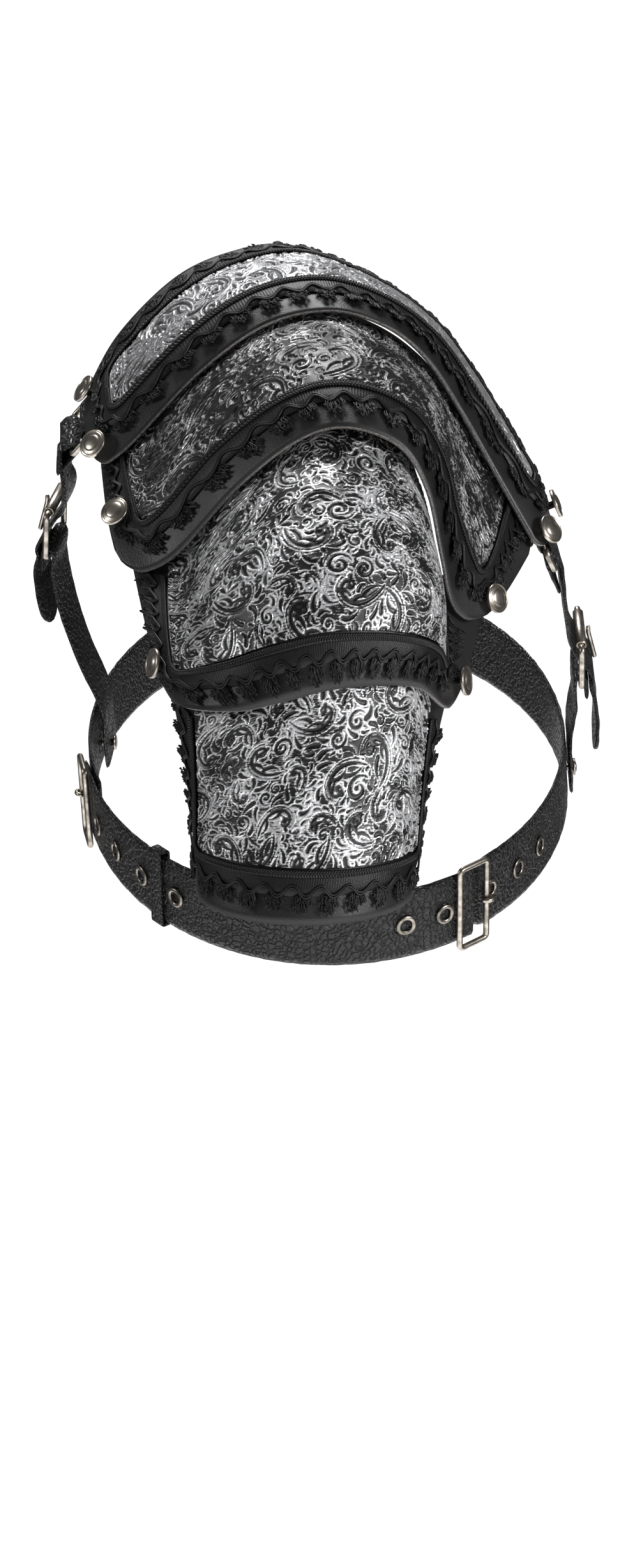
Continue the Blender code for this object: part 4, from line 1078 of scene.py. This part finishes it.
def turned_piece(name, profile, at, normal, material, node, closed=False):
    """A profile of (radius, height) points, spun round the normal."""
    made = bmesh.new()
    corners = [made.verts.new((radius, 0, height)) for radius, height in profile]
    lines = [made.edges.new(pair) for pair in zip(corners, corners[1:])]
    if closed:
        lines.append(made.edges.new((corners[-1], corners[0])))
    bmesh.ops.spin(made, geom=corners + lines, cent=(0, 0, 0), axis=(0, 0, 1), angle=2 * pi, steps=40,
                   use_merge=True)
    bmesh.ops.remove_doubles(made, verts=made.verts, dist=WELD)
    bmesh.ops.recalc_face_normals(made, faces=made.faces)
    turn = Vector(normal).to_track_quat("Z", "Y").to_matrix().to_4x4()
    bmesh.ops.transform(made, matrix=Matrix.Translation(Vector(at - SEAT)) @ turn, verts=made.verts)
    return finished(name, made, (material,), "antiqued_nickel", node)


# %% [markdown]
# ## The snap caps
# A snap cap is a low dome pressed from thin sheet: a raised middle, a plain ring round it and a rolled rim.
# It sits on the braid, and its post goes down through both plates to a flat foot. How long the post must be
# is found by casting a ray to the plate below.

# %% Cap measures
CAP_RADIUS, CAP_HEIGHT, POST_RADIUS, FLANGE_RADIUS, FLANGE = 0.0080, 0.0032, 0.0020, 0.0042, 0.0010
TRIM_THICKNESS = 0.0022
ON_BRAID = TRIM_THICKNESS + GAP + 2 * FACET
CAP_SHAPE = ((0.00, 1.00), (0.18, 0.99), (0.34, 0.95), (0.48, 0.88), (0.56, 0.80), (0.59, 0.72), (0.62, 0.70),
             (0.78, 0.62), (0.84, 0.57), (0.86, 0.50), (0.88, 0.52), (0.91, 0.60), (0.94, 0.62), (0.97, 0.58),
             (1.00, 0.45), (1.00, 0.10), (0.98, 0.00))
Link = namedtuple("Link", "name lame end low")
LINKS = (
    Link("rear_1_2", 1, 1.2, 1.50),
    Link("front_1_2", 1, 1.2, 1.38),
    Link("rear_2_3", 2, 1.2, 5.50),
    Link("front_2_3", 2, 1.2, 2.50),
    Link("rear_3_4", 3, 1.2, 3.25),
    Link("front_3_4", 3, 1.2, 2.75),
)
print("links:", [link.name for link in LINKS])


# %% Caps
def snap(name, at, normal, radius, height, stack, raised):
    """A pressed head above the braid, its post through the stack, and a flat foot."""
    seat = raised + GAP + FACET / 2
    profile = [(share * radius, seat + rise * height) for share, rise in CAP_SHAPE]
    profile += [(POST_RADIUS, seat), (POST_RADIUS, -stack), (FLANGE_RADIUS, -stack),
                (FLANGE_RADIUS, -stack - FLANGE), (0, -stack - FLANGE)]
    return turned_piece(f"{name}_turned", profile, at, normal, warm_nickel, name)


def depth_to(lame, at, normal):
    """How deep the plate below lies, against the normal, and the slope of its face."""
    down, along = np.meshgrid(lame.shares, lame.shares, indexing="ij")
    count = lame.SAMPLES
    faces = [(r * count + c, r * count + c + 1, (r + 1) * count + c + 1, (r + 1) * count + c)
             for r in range(count - 1) for c in range(count - 1)]
    tree = BVHTree.FromPolygons([Vector(p) for p in lame.skin(down, along).reshape(-1, 3)], faces)
    _, face_normal, _, depth = tree.ray_cast(Vector(at), -Vector(normal))
    facing = abs(face_normal.dot(Vector(normal)))
    return depth, sqrt(1 - facing ** 2) / facing


for link in LINKS:
    lame, below = LAMES[link.lame], LAMES[link.lame + 1]
    x = CAP_RADIUS * link.end
    if link.name.startswith("front"):
        x = lame.length - x
    at, normal = lame.on_pattern(np.array(x), np.array(lame.width - CAP_RADIUS * link.low))
    depth, tilt = depth_to(below, at, normal)
    stack = depth + LEATHER * sqrt(1 + tilt ** 2) + FACET + GAP + FLANGE_RADIUS * tilt
    snap(f"cap_{link.name}", at, normal, CAP_RADIUS, CAP_HEIGHT, stack, ON_BRAID)
print("snap caps:", len(LINKS))

# %% [markdown]
# ## The chest belt
# The belt is an ellipse in a plane that slopes down towards the right arm. A turn of 0 is at the right
# side, and the turn grows towards the front. It is made of two pieces: the near one carries both buckles'
# tongues and six eyelets, the far one runs round the left side and has three.

# %% Belt measures
BELT_WIDTH, BELT, FRAME_CORNER, FRAME_SIDE = 0.042, 0.0025, 0.0025, 0.0014
WIRE_RADIUS, PRONG_RADIUS, BELT_FRAME_LENGTH = 0.0017, 0.0013, 0.020
BELT_X, BELT_HALF_DEPTH, BELT_HALF_WIDTH = 0.026 * DEPTH, 0.546 * DEPTH, 0.555 * REACH
BELT_LEVEL, BELT_TILT, BELT_LEAN = 0.045 * RISE, radians(29), 0.055
BELT_TIP, BELT_LAP, BELT_TUCK = 0.024, 0.004, 0.016
BELT_UNDER = -(BELT + 2 * GAP)
BUCKLE_TURNS = {"rear": radians(-76), "front": radians(33.5)}
Eyelets = namedtuple("Eyelets", "buckle side room pitch count far")
EYELETS = (
    Eyelets("rear", 1, 0.27, 0.73, 4, False),
    Eyelets("front", -1, 0.020, 0.57, 2, False),
    Eyelets("front", 1, 0.020, 0.66, 3, True),
)
EYELET_SHAPE = ((0.0058, 0.0000), (0.0058, 0.0005), (0.0055, 0.0009), (0.0050, 0.0012), (0.0043, 0.0012),
                (0.0036, 0.0010), (0.0033, 0.0006), (0.0032, 0.0000))


def belt_frame(turn, lift=0.0):
    """Point on the belt's middle surface, and its directions along, across (up) and outward."""
    y = -BELT_HALF_WIDTH * cos(turn)
    point = np.array([BELT_X + BELT_HALF_DEPTH * sin(turn), y, BELT_LEVEL + y * tan(BELT_TILT)])
    along = unit(np.array([BELT_HALF_DEPTH * cos(turn), BELT_HALF_WIDTH * sin(turn),
                           BELT_HALF_WIDTH * sin(turn) * tan(BELT_TILT)]))
    up = np.array([-BELT_LEAN * sin(turn) ** 2, -sin(BELT_TILT), cos(BELT_TILT)])
    up = unit(up - along * up.dot(along))
    outward = np.cross(along, up)
    return point + outward * lift, along, up, outward


def belt_step(turn, distance):
    """The turn after going a distance along the belt."""
    for _ in range(12):
        run = sqrt((BELT_HALF_DEPTH * cos(turn)) ** 2 + (BELT_HALF_WIDTH * sin(turn) / cos(BELT_TILT)) ** 2)
        turn += distance / 12 / run
    return turn


# %% Belt and buckles
rear, front = BUCKLE_TURNS["rear"], BUCKLE_TURNS["front"]
for name, first, last, lift in (
        ("belt_near", belt_step(rear, -BELT_TIP), belt_step(front, BELT_LAP), 0),
        ("belt_far", belt_step(front, -BELT_LAP), belt_step(rear, BELT_TUCK) + 2 * pi, BELT_UNDER)):
    rows = [belt_frame(turn, lift) for turn in np.linspace(first, last, 160)]
    leather_band(f"{name}_strap", [row[0] for row in rows], [row[2] for row in rows], BELT_WIDTH / 2, BELT,
                 name, start=True)

for place, turn in BUCKLE_TURNS.items():
    middle, along, up, outward = belt_frame(turn, BELT / 2 + GAP + WIRE_RADIUS)
    wire_rectangle(f"belt_frame_{place}", middle, along, up, BELT_FRAME_LENGTH,
                   BELT_WIDTH + 2 * (FRAME_SIDE + WIRE_RADIUS), f"belt_buckle_{place}")
    bar = middle + along * (1 if place == "front" else -1) * BELT_FRAME_LENGTH / 2
    reach = WIRE_RADIUS + PRONG_RADIUS + GAP
    hook = [bar + along * reach * cos(angle) + outward * reach * sin(angle)
            for angle in np.linspace(0, pi, 17)]
    wire_rod(f"belt_hook_{place}", hook, up, PRONG_RADIUS, f"belt_prong_{place}")

# %% Eyelets
eyelet_turns = []
for row in EYELETS:
    first = BELT_FRAME_LENGTH / 2 + WIRE_RADIUS + EYELET_SHAPE[0][0] + row.room * BELT_WIDTH
    for place in range(row.count):
        distance = first + place * row.pitch * BELT_WIDTH
        eyelet_turns.append((belt_step(BUCKLE_TURNS[row.buckle], row.side * distance), row.far))
for number, (turn, far) in enumerate(eyelet_turns, 1):
    point, along, up, outward = belt_frame(turn, BELT_UNDER * far + BELT / 2 + FACET / 2 + GAP)
    turned_piece(f"rolled_eyelet_{number}", EYELET_SHAPE, point, outward, dark_nickel, f"eyelet_{number}",
                 closed=True)

print("eyelets:", len(eyelet_turns))

# %% Keeper
KEEPER, KEEPER_WIDTH = 0.0015, 0.0095
point, along, up, outward = belt_frame((eyelet_turns[2][0] + eyelet_turns[3][0]) / 2)
room = GAP + FACET + KEEPER / 2
high, thick = BELT_WIDTH / 2 + room, BELT / 2 + room
path = []
for side_a, side_b, begin in ((1, 1, 0), (-1, 1, pi / 2), (-1, -1, pi), (1, -1, 3 * pi / 2)):
    for angle in np.linspace(begin, begin + pi / 2, 6):
        path.append(point + up * (side_a * (high - room) + room * cos(angle))
                    + outward * (side_b * (thick - room) + room * sin(angle)))
path = np.array(path)
forward = unit(np.roll(path, -1, axis=0) - np.roll(path, 1, axis=0))
half, flat = KEEPER_WIDTH / 2, KEEPER / 2
outline = np.array([(half, -0.6 * flat), (0.9 * half, -flat), (-0.9 * half, -flat), (-half, -0.6 * flat),
                    (-half, 0.6 * flat), (-0.9 * half, flat), (0.9 * half, flat), (half, 0.6 * flat)])
closed_loop("keeper_loop", path, np.cross(along, forward), outline, crackled, "crackled_leather", "keeper")
print("keeper:", round(2 * high * 1000, 1), "mm high")

# %% [markdown]
# ## The diagonal straps
# On each side a short tab holds a ring at the end of the top plate. The upper strap is folded round the
# ring, runs under the buckle's roller and over its far bar, and ends in a loose tail. The lower strap is
# folded round that bar and runs down to the belt, where a rivet holds it. In front it crosses the belt
# outside, behind it passes inside.

# %% Strap measures
STRAP_WIDTH, STRAP, ROLLER_RADIUS, RING_LENGTH, FRAME_LENGTH = 0.030, 0.0022, 0.0030, 0.013, 0.028
TAB_CAP_END, TAB_CAP_TOP, TAB_REACH, TAB_DROP, TAB_BACK = 0.0095, 0.0120, 0.016, 0.0020, 0.010
TURN_BACK, HINGE_BACK, CROSS_UP, CROSS_DOWN = 0.020, 0.014, 0.024, 0.018
RIVET_RADIUS, RIVET_HEIGHT, RIVET_LOW = 0.0050, 0.0020, 0.008
HALF_STRAP, FRAME_INNER = STRAP_WIDTH / 2, STRAP_WIDTH + 2 * (FRAME_SIDE + WIRE_RADIUS)
STRAP_SHARES = np.linspace(0, 1, 90)[1:]
Side = namedtuple("Side", "sign over_belt belt_turn leave buckle outward down between tail lower")
SIDES = {
    "rear": Side(-1, False, radians(-101), (-0.25, 0.62, -0.74), (-58.2, -17.3, 48.8), (-0.95, 0.14, 0.21),
                 (-0.05, 0.60, -0.80), (-54.9, -27.0, 55.6),
                 ((-61.4, -11.6, 40.5), (-59.6, -8.4, 30.5)),
                 ((-56.0, -6.3, 34.0), (-52.6, -0.6, 25.3))),
    "front": Side(1, True, radians(92), (0.25, 0.62, -0.74), (58.3, -17.3, 25.3), (0.99, -0.01, 0.07),
                  (0.03, 0.70, -0.71), (54.4, -27.0, 33.4),
                  ((62.2, -11.5, 15.0), (62.3, -9.0, 6.8)),
                  ((57.6, -8.0, 16.6),)),
}


def fold(bar, away, outward, short):
    """Middle points of a strap round a bar, from its short end on the inner side to the outer side."""
    radius = WIRE_RADIUS + GAP + STRAP / 2
    angles = np.linspace(-pi / 2, pi / 2, 15)
    turned = [bar - away * radius * cos(angle) + outward * radius * sin(angle) for angle in angles]
    return [bar - outward * radius + away * short] + turned


# %% Tabs and rings
ring_places = {}
for place, side in SIDES.items():
    x = TAB_CAP_END if side.sign < 0 else lame_1.length - TAB_CAP_END
    at, outward = lame_1.on_pattern(np.array(x), np.array(TAB_CAP_TOP))
    leave = np.array(side.leave)
    leave = unit(leave - outward * leave.dot(outward))
    across = np.cross(outward, leave)
    reach = WIRE_RADIUS + GAP + STRAP / 2
    bar = at - outward * (LEATHER + GAP + TAB_DROP + STRAP / 2 + reach) + leave * TAB_REACH
    tab = fold(bar, -leave, outward, TAB_REACH + TAB_BACK)
    tab.append(bar + outward * reach - leave * (TAB_REACH + TAB_BACK + STRAP))
    leather_band(f"tab_{place}", tab, [across] * len(tab), HALF_STRAP, STRAP, f"ring_tab_{place}", end=True)
    snap(f"cap_{place}_strap", at, outward, CAP_RADIUS, CAP_HEIGHT,
         LEATHER + 2 * GAP + TAB_DROP + 2 * reach + STRAP, ON_BRAID)
    wire_rectangle(f"wire_ring_{place}", bar + leave * RING_LENGTH / 2, leave, across, RING_LENGTH,
                   FRAME_INNER, f"ring_{place}")
    ring_places[place] = (bar + leave * RING_LENGTH, leave, across, outward)
print("rings:", len(ring_places))

# %% Roller buckles and upper straps
buckle_places = {}
for place, side in SIDES.items():
    far_bar, leave, across, outward = ring_places[place]
    middle = np.array(body_point(*side.buckle))
    down, out = unit(np.array(side.down)), np.array(side.outward)
    out = unit(out - down * out.dot(down))
    wide = np.cross(out, down)
    wire_rectangle(f"strap_frame_{place}", middle, down, wide, FRAME_LENGTH, FRAME_INNER, f"buckle_{place}")
    roller, hinge = middle - down * FRAME_LENGTH / 2, middle + down * FRAME_LENGTH / 2
    bore, half = WIRE_RADIUS + GAP, HALF_STRAP - FRAME_SIDE
    soft = ROLLER_RADIUS / 8
    tube = ((ROLLER_RADIUS - soft, half), (ROLLER_RADIUS, half - soft), (ROLLER_RADIUS, soft - half),
            (ROLLER_RADIUS - soft, -half), (bore, -half), (bore, half))
    turned_piece(f"roller_tube_{place}", tube, roller, wide, warm_nickel, f"roller_{place}", closed=True)

    start = fold(far_bar, leave, outward, TURN_BACK)
    under = roller - out * (ROLLER_RADIUS + GAP + 2 * FACET + STRAP / 2)
    over = hinge + out * (WIRE_RADIUS + 2 * GAP + 1.5 * STRAP)
    keys = [start[-1], start[-1] + leave * 2 * ROLLER_RADIUS, body_point(*side.between), under,
            over - down * 2 * STRAP, over + down * 2 * bore]
    keys += [body_point(*row) for row in side.tail]
    turns = [across, across, across + wide] + [wide] * (len(keys) - 3)
    points = np.array(start + list(smooth(keys, STRAP_SHARES)))
    sides = np.array([across] * len(start) + list(smooth(turns, STRAP_SHARES)))
    leather_band(f"upper_band_{place}", points, sides, HALF_STRAP, STRAP, f"upper_strap_{place}", end=True)
    lift = out * (ROLLER_RADIUS + GAP + PRONG_RADIUS)
    rest = over + out * (STRAP / 2 + GAP + PRONG_RADIUS) - down * 2 * ROLLER_RADIUS
    wire_rod(f"tongue_{place}", [roller + lift - down * STRAP, roller + lift + down * STRAP, rest], wide,
             PRONG_RADIUS, f"prong_{place}")
    buckle_places[place] = (hinge, down, out, wide)
print("buckles:", len(buckle_places))

# %% Lower straps and their rivets
for place, side in SIDES.items():
    hinge, down, out, wide = buckle_places[place]
    point, _, up, outside = belt_frame(side.belt_turn, BELT_UNDER)
    if side.over_belt:
        apart = BELT / 2 + GAP + FACET + STRAP / 2
        head, stack = point + outside * (apart + STRAP / 2), STRAP + GAP + FACET + BELT
    else:
        apart = -BELT / 2 - GAP - 3 * FACET - STRAP_WIDTH ** 2 / 8 / BELT_HALF_DEPTH - STRAP / 2
        head, stack = point + outside * BELT / 2, BELT / 2 - apart + STRAP / 2 + 2 * FACET
    end = point + outside * apart
    along = unit(down - outside * down.dot(outside))
    last = np.cross(outside, along)
    start = fold(hinge, down, -out, HINGE_BACK)
    keys = [start[-1], start[-1] + down * HINGE_BACK] + [body_point(*row) for row in side.lower]
    keys += [end - along * CROSS_UP, end, end + along * CROSS_DOWN]
    turns = [wide] * (len(keys) - 4) + [wide + last] + [last] * 3
    points = np.array(start + list(smooth(keys, STRAP_SHARES)))
    sides = np.array([wide] * len(start) + list(smooth(turns, STRAP_SHARES)))
    leather_band(f"lower_band_{place}", points, sides, HALF_STRAP, STRAP, f"lower_strap_{place}")
    snap(f"strap_rivet_{place}", head - up * RIVET_LOW, outside, RIVET_RADIUS, RIVET_HEIGHT, stack + GAP, 0)
print("straps on", len(SIDES), "sides")
